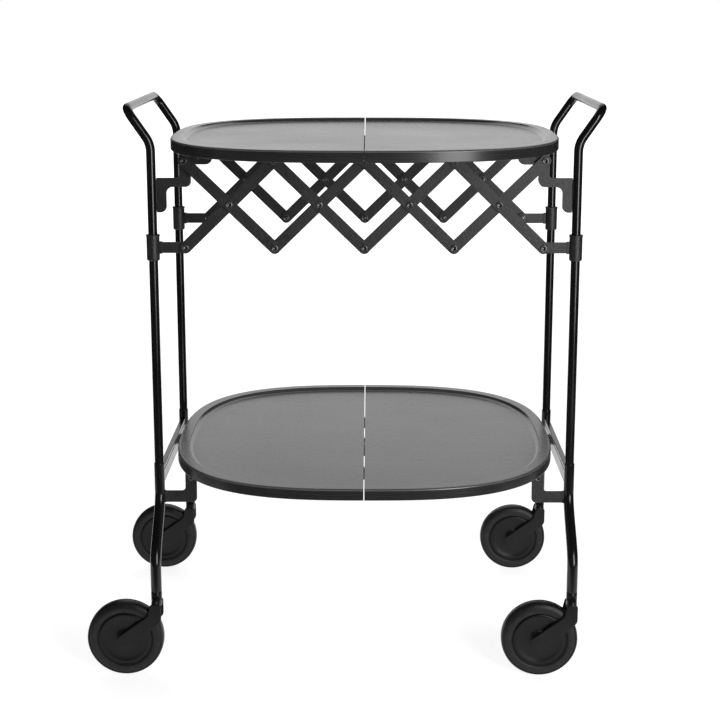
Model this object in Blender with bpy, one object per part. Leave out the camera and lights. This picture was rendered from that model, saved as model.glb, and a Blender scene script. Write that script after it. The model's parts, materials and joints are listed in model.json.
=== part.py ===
"""Folding serving trolley: two U-shaped tube frames joined by two fold-up trays and two scissor lattices.

Metres, +Z up. The trolley stands on the plane z = 0. X runs across the fold, Y runs front to rear.
Opening and closing happens about the centre plane x = CENTRE_X, and front and rear mirror each other in y = 0.
"""
import math

import bmesh
import bpy
from mathutils import Matrix, Vector

# ---- driving dimensions -------------------------------------------------------------------------
GAP = 0.0003  # running clearance between neighbouring solids

LEG_X = 0.2655  # leg axis from the centre plane
LEG_Y = 0.1287  # leg axis from the y = 0 plane
TUBE_R = 0.0057
HANDLE_LEAN = 0.0297  # the grip stands this far outside the legs
HANDLE_Z = 0.7209
HANDLE_BEND_Z = 0.6774
HANDLE_BEND_R = 0.033
HANDLE_CORNER_R = 0.016

CASTING_TOP_Z = 0.2647
CASTING_BOTTOM_Z = 0.1113
CASTING_R = 0.0066
CASTING_FOOT_R = 0.0069
SWEEP_TOP_Z = 0.225  # the casting swings outward between these heights
SWEEP_BOTTOM_Z = 0.145
SWEEP_Y = 0.0553

PIVOT_X = 0.2246  # outer tray pivots, and the ends of the lattices, from the centre plane
UPPER_PIVOT_Z = 0.6564
LOWER_PIVOT_Z = 0.2454
BAR_DROP = 0.1095  # height of the lattice at rest
BAR_WIDTH = 0.0146
CELLS = 4

CROSSBAR_T = 0.0070
CROSSBAR_LOW_Z = 0.2310
CROSSBAR_HIGH_Z = 0.2535
CROSSBAR_LIP = 0.0040
CROSSBAR_GROOVE = 0.0016

PLATE_T = 0.0022  # every flat bar and bracket
EAR_Y = 0.1250  # inner face of the tray ears; the other plates stack outward from them
RIVET_R = 0.0029
RIVET_HEAD_R = 0.0046
RIVET_HEAD_T = 0.0012
RIVET_SIDES = 8
SEAT = 0.0001  # overlap where a rivet or a foot is one with its plate

TRAY_HALF = 0.2509
TRAY_ROUNDNESS = 2.8  # exponent of the super-ellipse
TRAY_EDGE_T = 0.0145
TRAY_EDGE_CHAMFER = 0.0012
TRAY_DISH = 0.0047  # the floor lies this far below the rim
TRAY_RIM_W = 0.0140  # flat rim, with a hollow slope of TRAY_COVE_W inside it
TRAY_COVE_W = 0.0060
TRAY_STEPS = 18
TRAY_PIVOT_DROP = 0.0099  # tray underside above its hinge axes
SPLIT = 0.0012  # gap between the two halves

LEAF_T = 0.0020  # centre hinge leaves, and the feet of the ears
LEAF_W = 0.0240
LEAF_INSET = 0.0030
EAR_LENGTH = 0.0245
EAR_FOOT = 0.0130
EAR_LUG = 0.0055

SLEEVE_DROP = 0.0928  # top of the sleeves below the upper pivots
SLEEVE_H = 0.033
SLEEVE_R = 0.0082
SLEEVE_LIP = 0.0006
SLEEVE_LIP_H = 0.0022
SLEEVE_ARM_HALF = 0.0070

WHEEL_R = 0.049
HUB_R = 0.0343
HUB_BOSS_R = 0.0100
HUB_DISH = 0.0025
WHEEL_W = 0.0190
WHEEL_SIDES = 20
WHEEL_SHOULDER = 0.0035
CASTER_TRAIL = 0.0405
AXLE_R = 0.0040
FORK_T = 0.0026
FORK_TOE_R = 0.0135  # cheek round the axle
FORK_HEEL_R = 0.0090  # cheek below the neck

HINGE_PIN_R = 0.0022
KNUCKLE_R = 0.0044
KNUCKLE_STATIONS = 0.118  # outer centre hinges from y = 0
# centre hinges: place, station along Y, length of the right half's knuckle and of the left half's two
HINGES = (
    ("front", -KNUCKLE_STATIONS, 0.0050, 0.0050),
    ("middle", 0, 0.0300, 0.0090),
    ("rear", KNUCKLE_STATIONS, 0.0050, 0.0050),
)

# ---- derived dimensions -------------------------------------------------------------------------
# the casters trail towards -X, so the centre plane moves to keep the origin under the middle
CENTRE_X = (CASTER_TRAIL + WHEEL_R - HANDLE_LEAN - TUBE_R) / 2
LATTICE_BOTTOM_Z = UPPER_PIVOT_Z - BAR_DROP
CELL_W = 2 * PIVOT_X / CELLS
LAYER = PLATE_T + GAP
BRACKET_Y = EAR_Y + LAYER
RISING_Y = BRACKET_Y + LAYER  # bars that rise towards +X
FALLING_Y = RISING_Y + LAYER  # bars that fall towards +X
STEM_Y = LEG_Y + SWEEP_Y
FORK_CROWN_Z = 0.0925  # underside of the fork, clear of the tyre
FORK_TOP_Z = CASTING_BOTTOM_Z - GAP
FORK_HALF = WHEEL_W / 2 + 0.0012
SIDES = (("left", -1), ("right", 1))
ENDS = (("front", -1), ("rear", 1))


def x_at(offset):
    """World X of a point this far from the centre plane."""
    return CENTRE_X + offset


# ---- scene --------------------------------------------------------------------------------------
for old in list(bpy.data.objects):
    bpy.data.objects.remove(old, do_unlink=True)
scene = bpy.context.scene.collection


def material(name, colour, roughness, metallic=0.0):
    made = bpy.data.materials.new(name)
    made.use_nodes = True
    shader = made.node_tree.nodes["Principled BSDF"]
    shader.inputs["Base Color"].default_value = (*colour, 1.0)
    shader.inputs["Roughness"].default_value = roughness
    shader.inputs["Metallic"].default_value = metallic
    return made


GLOSS_BLACK = material("gloss_black_enamel", (0.012, 0.012, 0.013), 0.22)
MATT_BLACK = material("matt_black_powder_coat", (0.022, 0.022, 0.023), 0.55)
DARK_STEEL = material("blackened_steel", (0.05, 0.05, 0.052), 0.35, 0.8)
LAMINATE = material("charcoal_laminate", (0.045, 0.045, 0.047), 0.45)
BLACK_NYLON = material("black_nylon", (0.018, 0.018, 0.019), 0.42)
BLACK_RUBBER = material("black_rubber", (0.014, 0.014, 0.014), 0.7)

# ---- bodies: one empty on each joint axis -------------------------------------------------------
body_at = {}
body_empty = {}


def add_body(name, at, parent=None):
    """An empty on the axis about which the named body turns, carried by its parent body's empty."""
    empty = bpy.data.objects.new(name + "_axis", None)
    empty.empty_display_size = 0.02
    scene.objects.link(empty)
    body_at[name] = Vector(at)
    body_empty[name] = empty
    if parent:
        empty.parent = body_empty[parent]
    empty.location = body_at[name] - (body_at[parent] if parent else Vector())


def add_object(name, bm, finish, body, smooth=35):
    """Turn a bmesh in world coordinates into a named object that hangs on its body's empty."""
    mesh = bpy.data.meshes.new(name)
    origin = body_at[body]
    bmesh.ops.translate(bm, verts=bm.verts, vec=-origin)
    bm.to_mesh(mesh)
    bm.free()
    mesh.shade_smooth()
    mesh.set_sharp_from_angle(angle=math.radians(smooth))
    mesh.materials.append(finish)
    made = bpy.data.objects.new(name, mesh)
    made.parent = body_empty[body]
    scene.objects.link(made)
    return made


def join(target, bm, name, body):
    """Unite a closed shape, given in world coordinates, with an object of the named body."""
    mesh = bpy.data.meshes.new(name)
    bmesh.ops.translate(bm, verts=bm.verts, vec=-body_at[body])
    bm.to_mesh(mesh)
    bm.free()
    tool = bpy.data.objects.new(name, mesh)
    tool.parent = body_empty[body]
    tool.hide_render = True
    tool.display_type = "WIRE"
    scene.objects.link(tool)
    union = target.modifiers.new(name, "BOOLEAN")
    union.operation = "UNION"
    union.solver = "EXACT"
    union.object = tool


# ---- shapes -------------------------------------------------------------------------------------
def arc(centre, radius, start, end, steps):
    """Points on an arc, angles in degrees."""
    points = []
    for k in range(steps + 1):
        angle = math.radians(start + (end - start) * k / steps)
        points.append((centre[0] + radius * math.cos(angle), centre[1] + radius * math.sin(angle)))
    return points


def rounded(corners, steps=3):
    """A closed outline through corners (u, v, fillet radius), with an arc at each corner that has one."""
    outline = []
    count = len(corners)
    for k, (u, v, radius) in enumerate(corners):
        here = Vector((u, v))
        if not radius:
            outline.append((u, v))
            continue
        back = (Vector(corners[k - 1][:2]) - here).normalized()
        ahead = (Vector(corners[(k + 1) % count][:2]) - here).normalized()
        half = back.angle(ahead) / 2
        centre = here + (back + ahead).normalized() * (radius / math.sin(half))
        first = here + back * (radius / math.tan(half)) - centre
        last = here + ahead * (radius / math.tan(half)) - centre
        turn = first.angle_signed(last)
        for j in range(steps + 1):
            spoke = first.copy()
            spoke.rotate(Matrix.Rotation(-turn * j / steps, 2))
            outline.append(tuple(centre + spoke))
    return outline


def capsule(start, end, radius_a, radius_b, steps=6):
    """The outline around two circles and their common tangents."""
    a = Vector(start)
    b = Vector(end)
    heading = math.degrees(math.atan2(b.y - a.y, b.x - a.x))
    lean = math.degrees(math.asin((radius_a - radius_b) / (b - a).length))
    far = arc(b, radius_b, heading - 90 + lean, heading + 90 - lean, steps)
    near = arc(a, radius_a, heading + 90 - lean, heading + 270 + lean, steps)
    return far + near


def circle(centre, radius, steps):
    return arc(centre, radius, 0, 360 - 360 / steps, steps - 1)


def add_plate(bm, outline, y_low, y_high, holes=()):
    """A flat plate in the XZ plane between two Y values, with holes given as outlines."""
    edges = []
    for loop in (outline, *holes):
        verts = [bm.verts.new((u, y_low, v)) for u, v in loop]
        for k, vert in enumerate(verts):
            edges.append(bm.edges.new((vert, verts[(k + 1) % len(verts)])))
    filled = bmesh.ops.triangle_fill(bm, use_beauty=True, edges=edges, normal=(0, -1, 0))
    sheet = [item for item in filled["geom"] if isinstance(item, bmesh.types.BMFace)]
    grown = bmesh.ops.extrude_face_region(bm, geom=sheet, use_keep_orig=True)["geom"]
    raised = [item for item in grown if isinstance(item, bmesh.types.BMVert)]
    bmesh.ops.translate(bm, verts=raised, vec=(0, y_high - y_low, 0))
    bmesh.ops.recalc_face_normals(bm, faces=bm.faces)


def add_turned(bm, profile, at, axis, sides):
    """A solid of revolution from (radius, height) points along the 'Y' or 'Z' axis at a point."""
    turn = Matrix.Rotation(-math.pi / 2, 4, "X") if axis == "Y" else Matrix.Identity(4)
    place = Matrix.Translation(at) @ turn
    rings = []
    for radius, height in profile:
        if radius == 0:
            rings.append([bm.verts.new(place @ Vector((0, 0, height)))] * sides)
            continue
        ring = []
        for k in range(sides):
            angle = 2 * math.pi * (k + 0.5) / sides
            point = Vector((radius * math.cos(angle), radius * math.sin(angle), height))
            ring.append(bm.verts.new(place @ point))
        rings.append(ring)
    pairs = list(zip(rings, rings[1:]))
    if profile[0][0] and profile[-1][0]:
        pairs.append((rings[-1], rings[0]))
    faces = []
    for low, high in pairs:
        for k in range(sides):
            n = (k + 1) % sides
            corners = []
            for vert in (low[k], low[n], high[n], high[k]):
                if vert not in corners:
                    corners.append(vert)
            faces.append(bm.faces.new(corners))
    bmesh.ops.recalc_face_normals(bm, faces=faces)


def add_box(bm, low, high):
    made = bmesh.ops.create_cube(bm, size=1)["verts"]
    size = Vector(high) - Vector(low)
    middle = (Vector(high) + Vector(low)) / 2
    bmesh.ops.scale(bm, verts=made, vec=size)
    bmesh.ops.translate(bm, verts=made, vec=middle)


def filleted_path(corners, spacing):
    """Points along a route of straight runs and arcs, from corners (point, bend radius)."""
    points = [Vector(corners[0][0])]
    for k in range(1, len(corners) - 1):
        here, radius = Vector(corners[k][0]), corners[k][1]
        back = (Vector(corners[k - 1][0]) - here).normalized()
        ahead = (Vector(corners[k + 1][0]) - here).normalized()
        half = back.angle(ahead) / 2
        centre = here + (back + ahead).normalized() * (radius / math.sin(half))
        first = here + back * (radius / math.tan(half)) - centre
        last = here + ahead * (radius / math.tan(half)) - centre
        steps = max(2, round(first.angle(last) / spacing))
        for j in range(steps + 1):
            points.append(centre + radius * first.normalized().slerp(last.normalized(), j / steps))
    points.append(Vector(corners[-1][0]))
    return points


def add_tube(bm, points, radii, sides):
    """A solid rod along points, with a radius for each; its rings stay square to the route."""
    rings = []
    side = Vector((1, 0, 0))
    for k, point in enumerate(points):
        before = points[max(k - 1, 0)]
        after = points[min(k + 1, len(points) - 1)]
        along = ((point - before).normalized() + (after - point).normalized()).normalized()
        side = (side - along * side.dot(along)).normalized()
        other = along.cross(side)
        mitre = 1.0
        if 0 < k < len(points) - 1:
            mitre = 1 / math.cos((point - before).angle(after - point) / 2)
        ring = []
        for j in range(sides):
            angle = 2 * math.pi * j / sides
            offset = side * math.cos(angle) + other * math.sin(angle)
            ring.append(bm.verts.new(point + offset * radii[k] * mitre))
        rings.append(ring)
    for low, high in zip(rings, rings[1:]):
        for j in range(sides):
            n = (j + 1) % sides
            bm.faces.new((low[j], low[n], high[n], high[j]))
    bm.faces.new(rings[0])
    bm.faces.new(rings[-1])
    bmesh.ops.recalc_face_normals(bm, faces=bm.faces)


# ---- bodies -------------------------------------------------------------------------------------
def add_bodies():
    """The tree: left frame, trays, right frame, then each half lattice from its own frame."""
    left = x_at(-PIVOT_X)
    right = x_at(PIVOT_X)
    add_body("left_frame", (x_at(-LEG_X), 0, 0))
    add_body("upper_tray_left", (left, 0, UPPER_PIVOT_Z), "left_frame")
    add_body("upper_tray_right", (x_at(0), 0, UPPER_PIVOT_Z), "upper_tray_left")
    add_body("right_frame", (right, 0, UPPER_PIVOT_Z), "upper_tray_right")
    add_body("lower_tray_left", (left, 0, LOWER_PIVOT_Z), "left_frame")
    add_body("lower_tray_right", (x_at(0), 0, LOWER_PIVOT_Z), "lower_tray_left")
    middle_z = UPPER_PIVOT_Z - BAR_DROP / 2
    add_body("falling_bar_1", (left, 0, UPPER_PIVOT_Z), "left_frame")
    add_body("rising_bar_1", (left + CELL_W / 2, 0, middle_z), "falling_bar_1")
    add_body("rising_bar_2", (left + CELL_W, 0, LATTICE_BOTTOM_Z), "falling_bar_1")
    add_body("falling_bar_2", (left + 1.5 * CELL_W, 0, middle_z), "rising_bar_2")
    add_body("sleeves_left", (left, 0, LATTICE_BOTTOM_Z), "rising_bar_1")
    add_body("rising_bar_4", (right, 0, UPPER_PIVOT_Z), "right_frame")
    add_body("falling_bar_4", (right - CELL_W / 2, 0, middle_z), "rising_bar_4")
    add_body("falling_bar_3", (right - CELL_W, 0, LATTICE_BOTTOM_Z), "rising_bar_4")
    add_body("rising_bar_3", (right - 1.5 * CELL_W, 0, middle_z), "falling_bar_3")
    add_body("sleeves_right", (right, 0, LATTICE_BOTTOM_Z), "falling_bar_4")
    for side, sx in SIDES:
        for end, sy in ENDS:
            stem = Vector((x_at(sx * LEG_X), sy * STEM_Y, FORK_TOP_Z))
            axle = Vector((stem.x - CASTER_TRAIL, stem.y, WHEEL_R))
            swivel = f"caster_{end}_{side}"
            add_body(swivel, stem, f"{side}_frame")
            add_body(f"wheel_{end}_{side}", axle, swivel)


# ---- frame --------------------------------------------------------------------------------------
def add_u_tube(side, sx):
    """One bent tube: up the front leg, out and across as the grip, and down the rear leg."""
    leg = x_at(sx * LEG_X)
    grip = x_at(sx * (LEG_X + HANDLE_LEAN))
    foot = CASTING_TOP_Z + GAP
    route = [
        ((leg, -LEG_Y, foot), 0),
        ((leg, -LEG_Y, HANDLE_BEND_Z), HANDLE_BEND_R),
        ((grip, -LEG_Y, HANDLE_Z), HANDLE_CORNER_R),
        ((grip, LEG_Y, HANDLE_Z), HANDLE_CORNER_R),
        ((leg, LEG_Y, HANDLE_BEND_Z), HANDLE_BEND_R),
        ((leg, LEG_Y, foot), 0),
    ]
    points = filleted_path(route, math.radians(16))
    bm = bmesh.new()
    add_tube(bm, points, [TUBE_R] * len(points), 12)
    add_object(f"u_tube_{side}", bm, GLOSS_BLACK, f"{side}_frame")


def add_lower_leg(side, sx, end, sy):
    """Cast foot of a leg: a socket for the tube, then a sweep outward in Y to the caster stem."""
    steps = 6
    heights = [CASTING_TOP_Z, SWEEP_TOP_Z + 0.002]
    heights += [SWEEP_TOP_Z + (SWEEP_BOTTOM_Z - SWEEP_TOP_Z) * k / steps for k in range(1, steps + 1)]
    heights += [CASTING_BOTTOM_Z]
    points = []
    radii = []
    for z in heights:
        t = min(1.0, max(0.0, (SWEEP_TOP_Z - z) / (SWEEP_TOP_Z - SWEEP_BOTTOM_Z)))
        ease = t * t * (3 - 2 * t)
        points.append(Vector((x_at(sx * LEG_X), sy * (LEG_Y + SWEEP_Y * ease), z)))
        radii.append(CASTING_R + (CASTING_FOOT_R - CASTING_R) * ease)
    bm = bmesh.new()
    add_tube(bm, points, radii, 12)
    add_object(f"lower_leg_{end}_{side}", bm, GLOSS_BLACK, f"{side}_frame")


def add_crossbar(side, sx):
    """Rail between the two castings of one side, with a groove under its top lip on the inner face."""
    reach = LEG_Y - CASTING_R - GAP
    half = CROSSBAR_T / 2
    groove_top = CROSSBAR_HIGH_Z - CROSSBAR_LIP
    groove_low = groove_top - CROSSBAR_GROOVE
    section = [
        (-half, CROSSBAR_LOW_Z),
        (half, CROSSBAR_LOW_Z),
        (half, groove_low),
        (half - CROSSBAR_GROOVE, groove_low),
        (half - CROSSBAR_GROOVE, groove_top),
        (half, groove_top),
        (half, CROSSBAR_HIGH_Z),
        (-half, CROSSBAR_HIGH_Z),
    ]
    bm = bmesh.new()
    add_plate(bm, [(x_at(sx * LEG_X) - sx * u, v) for u, v in section], -reach, reach)
    add_object(f"crossbar_{side}", bm, GLOSS_BLACK, f"{side}_frame")


def loose_hole(x, z):
    """The hole of a plate that turns on a rivet."""
    return circle((x, z), RIVET_R + GAP, RIVET_SIDES)


def rivet(x, z, sy, inner, outer, inner_head=GAP, outer_head=GAP):
    """A rivet between two depths from y = 0; each head stands off its plate, or there is none."""
    profile = [(0, inner), (RIVET_R, inner), (RIVET_R, outer), (0, outer)]
    if inner_head is not None:
        low = inner - inner_head
        tip = low - RIVET_HEAD_T
        profile[0:2] = [(0, tip), (RIVET_HEAD_R, tip), (RIVET_HEAD_R, low), (RIVET_R, low)]
    if outer_head is not None:
        high = outer + outer_head
        tip = high + RIVET_HEAD_T
        profile[-2:] = [(RIVET_R, high), (RIVET_HEAD_R, high), (RIVET_HEAD_R, tip), (0, tip)]
    if sy < 0:
        profile = [(radius, -depth) for radius, depth in reversed(profile)]
    bm = bmesh.new()
    add_turned(bm, profile, (x, 0, z), "Y", RIVET_SIDES)
    return bm


def plate_span(sy, layer_y):
    """The two Y values of a plate in the layer that starts at layer_y, at the front or the rear."""
    return sorted((sy * layer_y, sy * (layer_y + PLATE_T)))


def add_upper_bracket(side, sx, end, sy):
    """S-shaped plate: a flange along the leg, an arm inward and a lug up to the tray pivot."""
    tube = -(LEG_X - PIVOT_X) + TUBE_R + GAP
    corners = [
        (tube, -0.065, 0),
        (tube + 0.0125, -0.065, 0.008),
        (tube + 0.0125, -0.033, 0.008),
        (0.0095, -0.033, 0.010),
        (0.0070, -0.010, 0.004),
        (0.0058, 0.0058, 0.0056),
        (-0.0058, 0.0058, 0.0056),
        (-0.0058, -0.0215, 0.004),
        (tube, -0.0215, 0),
    ]
    pivot = x_at(sx * PIVOT_X)
    outline = [(pivot - sx * u, UPPER_PIVOT_Z + v) for u, v in rounded(corners)]
    bm = bmesh.new()
    add_plate(bm, outline, *plate_span(sy, BRACKET_Y))
    body = f"{side}_frame"
    bracket = add_object(f"upper_bracket_{end}_{side}", bm, MATT_BLACK, body)
    bar = FALLING_Y if sx < 0 else RISING_Y
    pin = rivet(pivot, UPPER_PIVOT_Z, sy, EAR_Y, bar + PLATE_T)
    join(bracket, pin, f"tray_pivot_{end}_{side}", body)


def add_lower_bracket(side, sx, end, sy):
    """L-shaped plate from the casting inward and up to the lower tray's pivot."""
    casting = -(LEG_X - PIVOT_X) + CASTING_R + GAP
    corners = [
        (casting, -0.0340, 0),
        (0.0072, -0.0340, 0.006),
        (0.0075, 0.0070, 0.0068),
        (-0.0075, 0.0070, 0.0068),
        (-0.0075, -0.0185, 0.005),
        (casting, -0.0185, 0),
    ]
    pivot = x_at(sx * PIVOT_X)
    outline = [(pivot - sx * u, LOWER_PIVOT_Z + v) for u, v in rounded(corners)]
    bm = bmesh.new()
    add_plate(bm, outline, *plate_span(sy, BRACKET_Y))
    body = f"{side}_frame"
    bracket = add_object(f"lower_bracket_{end}_{side}", bm, MATT_BLACK, body)
    pin = rivet(pivot, LOWER_PIVOT_Z, sy, EAR_Y, BRACKET_Y + PLATE_T, outer_head=-SEAT)
    join(bracket, pin, f"lower_pivot_{end}_{side}", body)


def add_sleeve(side, sx, end, sy):
    """Slider on a leg, with a flat arm to the lattice's bottom pivot."""
    top = UPPER_PIVOT_Z - SLEEVE_DROP
    low = top - SLEEVE_H
    bore = TUBE_R + GAP
    profile = [
        (bore, low),
        (SLEEVE_R, low),
        (SLEEVE_R, top - SLEEVE_LIP_H),
        (SLEEVE_R + SLEEVE_LIP, top - SLEEVE_LIP_H),
        (SLEEVE_R + SLEEVE_LIP, top),
        (bore, top),
    ]
    leg = x_at(sx * LEG_X)
    pivot = x_at(sx * PIVOT_X)
    wall = (bore + SLEEVE_R) / 2
    half = SLEEVE_ARM_HALF
    bm = bmesh.new()
    add_turned(bm, profile, (leg, sy * LEG_Y, 0), "Z", 12)
    body = f"sleeves_{side}"
    sleeve = add_object(f"sleeve_{end}_{side}", bm, MATT_BLACK, body)
    reach = LEG_X - PIVOT_X - wall
    outline = [(-reach, -half), *arc((0, 0), half, -90, 90, 5), (-reach, half)]
    tool = bmesh.new()
    arm = [(pivot - sx * u, LATTICE_BOTTOM_Z + v) for u, v in outline]
    add_plate(tool, arm, *plate_span(sy, BRACKET_Y))
    join(sleeve, tool, f"sleeve_arm_{end}_{side}", body)
    bar = RISING_Y if sx < 0 else FALLING_Y
    pin = rivet(pivot, LATTICE_BOTTOM_Z, sy, BRACKET_Y, bar + PLATE_T, inner_head=-SEAT)
    join(sleeve, pin, f"sleeve_pivot_{end}_{side}", body)


# ---- lattice ------------------------------------------------------------------------------------
def cell_x(k):
    """World X of the boundary to the left of cell k + 1."""
    return x_at(-PIVOT_X + k * CELL_W)


# which of a bar's pins (left end 0, crossing 1, right end 2) are rivets fixed in that bar, by cell
OWN_RIVETS = {"falling": ((1,), (0,), (1, 2), ()), "rising": ((), (0, 1), (2,), (1,))}
# a pin at the centre plane is cut between its two bars, so that the lattice can part there
HALF_RIVETS = {"falling": ((), (2,), (0,), ()), "rising": ((), (2,), (0,), ())}


def bar_rivet(slope, pin, sy, half):
    """The rivet fixed in a bar, through both bars or only through its own."""
    low = RISING_Y
    high = FALLING_Y + PLATE_T
    if slope == "falling" and half:
        return rivet(*pin, sy, FALLING_Y + SEAT, high, None, -SEAT)
    if slope == "falling":
        return rivet(*pin, sy, low, high, GAP, -SEAT)
    if half:
        return rivet(*pin, sy, low, RISING_Y + PLATE_T - SEAT, -SEAT, None)
    return rivet(*pin, sy, low, high, -SEAT, GAP)


def add_bars():
    """Each cell has a bar that falls and a bar that rises towards +X; a bar carries its own rivets."""
    middle_z = UPPER_PIVOT_Z - BAR_DROP / 2
    radius = BAR_WIDTH / 2
    slopes = {
        "falling": ((UPPER_PIVOT_Z, middle_z, LATTICE_BOTTOM_Z), FALLING_Y),
        "rising": ((LATTICE_BOTTOM_Z, middle_z, UPPER_PIVOT_Z), RISING_Y),
    }
    for cell in range(CELLS):
        stations = (cell_x(cell), cell_x(cell + 0.5), cell_x(cell + 1))
        for slope, (heights, layer) in slopes.items():
            pins = list(zip(stations, heights))
            outline = capsule(pins[0], pins[2], radius, radius, 4)
            halves = HALF_RIVETS[slope][cell]
            fixed = OWN_RIVETS[slope][cell] + halves
            holes = [loose_hole(*pin) for k, pin in enumerate(pins) if k not in fixed]
            body = f"{slope}_bar_{cell + 1}"
            for end, sy in ENDS:
                bm = bmesh.new()
                add_plate(bm, outline, *plate_span(sy, layer), holes)
                name = f"{slope}_bar_{end}_{cell + 1}"
                bar = add_object(name, bm, MATT_BLACK, body)
                for k in fixed:
                    join(bar, bar_rivet(slope, pins[k], sy, k in halves), f"{name}_rivet_{k + 1}", body)


# ---- trays --------------------------------------------------------------------------------------
def tray_ring(sx, half_size, z):
    """Points of half the super-ellipse of a given half size, from rear to front on one side."""
    power = 2 / TRAY_ROUNDNESS
    ring = []
    for k in range(TRAY_STEPS + 1):
        angle = math.pi / 2 - math.pi * k / TRAY_STEPS
        out = half_size * abs(math.cos(angle)) ** power
        along = half_size * math.copysign(abs(math.sin(angle)) ** power, math.sin(angle))
        edge = k in (0, TRAY_STEPS)
        ring.append(Vector((x_at(sx * (SPLIT / 2 if edge else out)), along, z)))
    return ring


def add_tray(level, pivot_z, side, sx):
    """Half of a dished tray: a flat rim, and a hollow slope inside it down to the floor."""
    low = pivot_z + TRAY_PIVOT_DROP
    top = low + TRAY_EDGE_T
    floor = top - TRAY_DISH
    rim = TRAY_HALF - TRAY_RIM_W
    sections = [
        (TRAY_HALF - TRAY_EDGE_CHAMFER, low),
        (TRAY_HALF, low + TRAY_EDGE_CHAMFER),
        (TRAY_HALF, top - TRAY_EDGE_CHAMFER),
        (TRAY_HALF - TRAY_EDGE_CHAMFER, top),
        (rim, top),
        (rim - 0.35 * TRAY_COVE_W, top - 0.70 * TRAY_DISH),
        (rim - TRAY_COVE_W, floor),
    ]
    bm = bmesh.new()
    rings = []
    for half_size, z in sections:
        rings.append([bm.verts.new(point) for point in tray_ring(sx, half_size, z)])
    for outer, inner in zip(rings, rings[1:]):
        for k in range(TRAY_STEPS):
            bm.faces.new((outer[k], outer[k + 1], inner[k + 1], inner[k]))
    bm.faces.new(rings[0])
    bm.faces.new(rings[-1])
    rear = [ring[0] for ring in rings]
    front = [ring[-1] for ring in rings]
    bm.faces.new(rear + front[::-1])
    bmesh.ops.recalc_face_normals(bm, faces=bm.faces)
    body = f"{level}_tray_{side}"
    tray = add_object(f"{level}_tray_half_{side}", bm, LAMINATE, body, 25)
    join_hardware(tray, body, pivot_z, side, sx)


def knuckle_spans(side):
    """Y ranges of this side's knuckles: the right half has the inner one of each hinge."""
    spans = []
    for _, station, inner, outer in HINGES:
        half = inner / 2
        if side == "right":
            spans.append((station - half, station + half))
            continue
        for sy in (-1, 1):
            near = station + sy * (half + GAP)
            spans.append(tuple(sorted((near, near + sy * outer))))
    return spans


def join_hardware(tray, body, pivot_z, side, sx):
    """Ears on the outer pivots and leaves with knuckles on the centre hinges, under one tray half."""
    under = pivot_z + TRAY_PIVOT_DROP
    pivot = x_at(sx * PIVOT_X)
    drop = TRAY_PIVOT_DROP
    outline = [
        (0, -EAR_LUG),
        (EAR_LENGTH * 0.45, -EAR_LUG),
        (EAR_LENGTH, drop - LEAF_T),
        (EAR_LENGTH, drop + SEAT),
        (-EAR_LUG, drop + SEAT),
        *arc((0, 0), EAR_LUG, 180, 255, 4),
    ]
    plates = bmesh.new()
    for _, sy in ENDS:
        ear = [(pivot - sx * u, pivot_z + v) for u, v in outline]
        add_plate(plates, ear, *plate_span(sy, EAR_Y), [loose_hole(pivot, pivot_z)])
    leaf_x = sorted((x_at(sx * LEAF_INSET), x_at(sx * (LEAF_INSET + LEAF_W))))
    for _, station, inner, outer in HINGES:
        reach = inner / 2 + GAP + outer
        low = (leaf_x[0], station - reach, under - LEAF_T)
        add_box(plates, low, (leaf_x[1], station + reach, under + SEAT))
    join(tray, plates, f"{body}_plates", body)

    feet = bmesh.new()
    foot_x = sorted((pivot - sx * EAR_LENGTH * 0.98, pivot + sx * EAR_LUG * 0.9))
    for _, sy in ENDS:
        foot_y = sorted((sy * (EAR_Y + PLATE_T / 2), sy * (EAR_Y - EAR_FOOT)))
        add_box(feet, (foot_x[0], foot_y[0], under - LEAF_T * 0.9), (foot_x[1], foot_y[1], under + 2 * SEAT))
    join(tray, feet, f"{body}_feet", body)

    knuckles = bmesh.new()
    edge = SPLIT / 2
    lug = [*arc((0, 0), KNUCKLE_R, 80, -180, 7), (-KNUCKLE_R, drop + SEAT), (-edge, drop + SEAT)]
    outline = [(x_at(-sx * u), pivot_z + v) for u, v in lug]
    bore = circle((x_at(0), pivot_z), HINGE_PIN_R + GAP, 8)
    for y_low, y_high in knuckle_spans(side):
        add_plate(knuckles, outline, y_low, y_high, [bore])
    join(tray, knuckles, f"{body}_knuckles", body)


def add_hinge_pins(level, pivot_z):
    """The three pins on which the two halves of a tray turn."""
    for place, station, inner, outer in HINGES:
        reach = inner / 2 + outer + 2 * GAP
        rod = [
            (0, station - reach),
            (HINGE_PIN_R, station - reach),
            (HINGE_PIN_R, station + reach),
            (0, station + reach),
        ]
        bm = bmesh.new()
        add_turned(bm, rod, (x_at(0), 0, pivot_z), "Y", 8)
        add_object(f"{level}_hinge_pin_{place}", bm, DARK_STEEL, f"{level}_tray_left")


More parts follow.
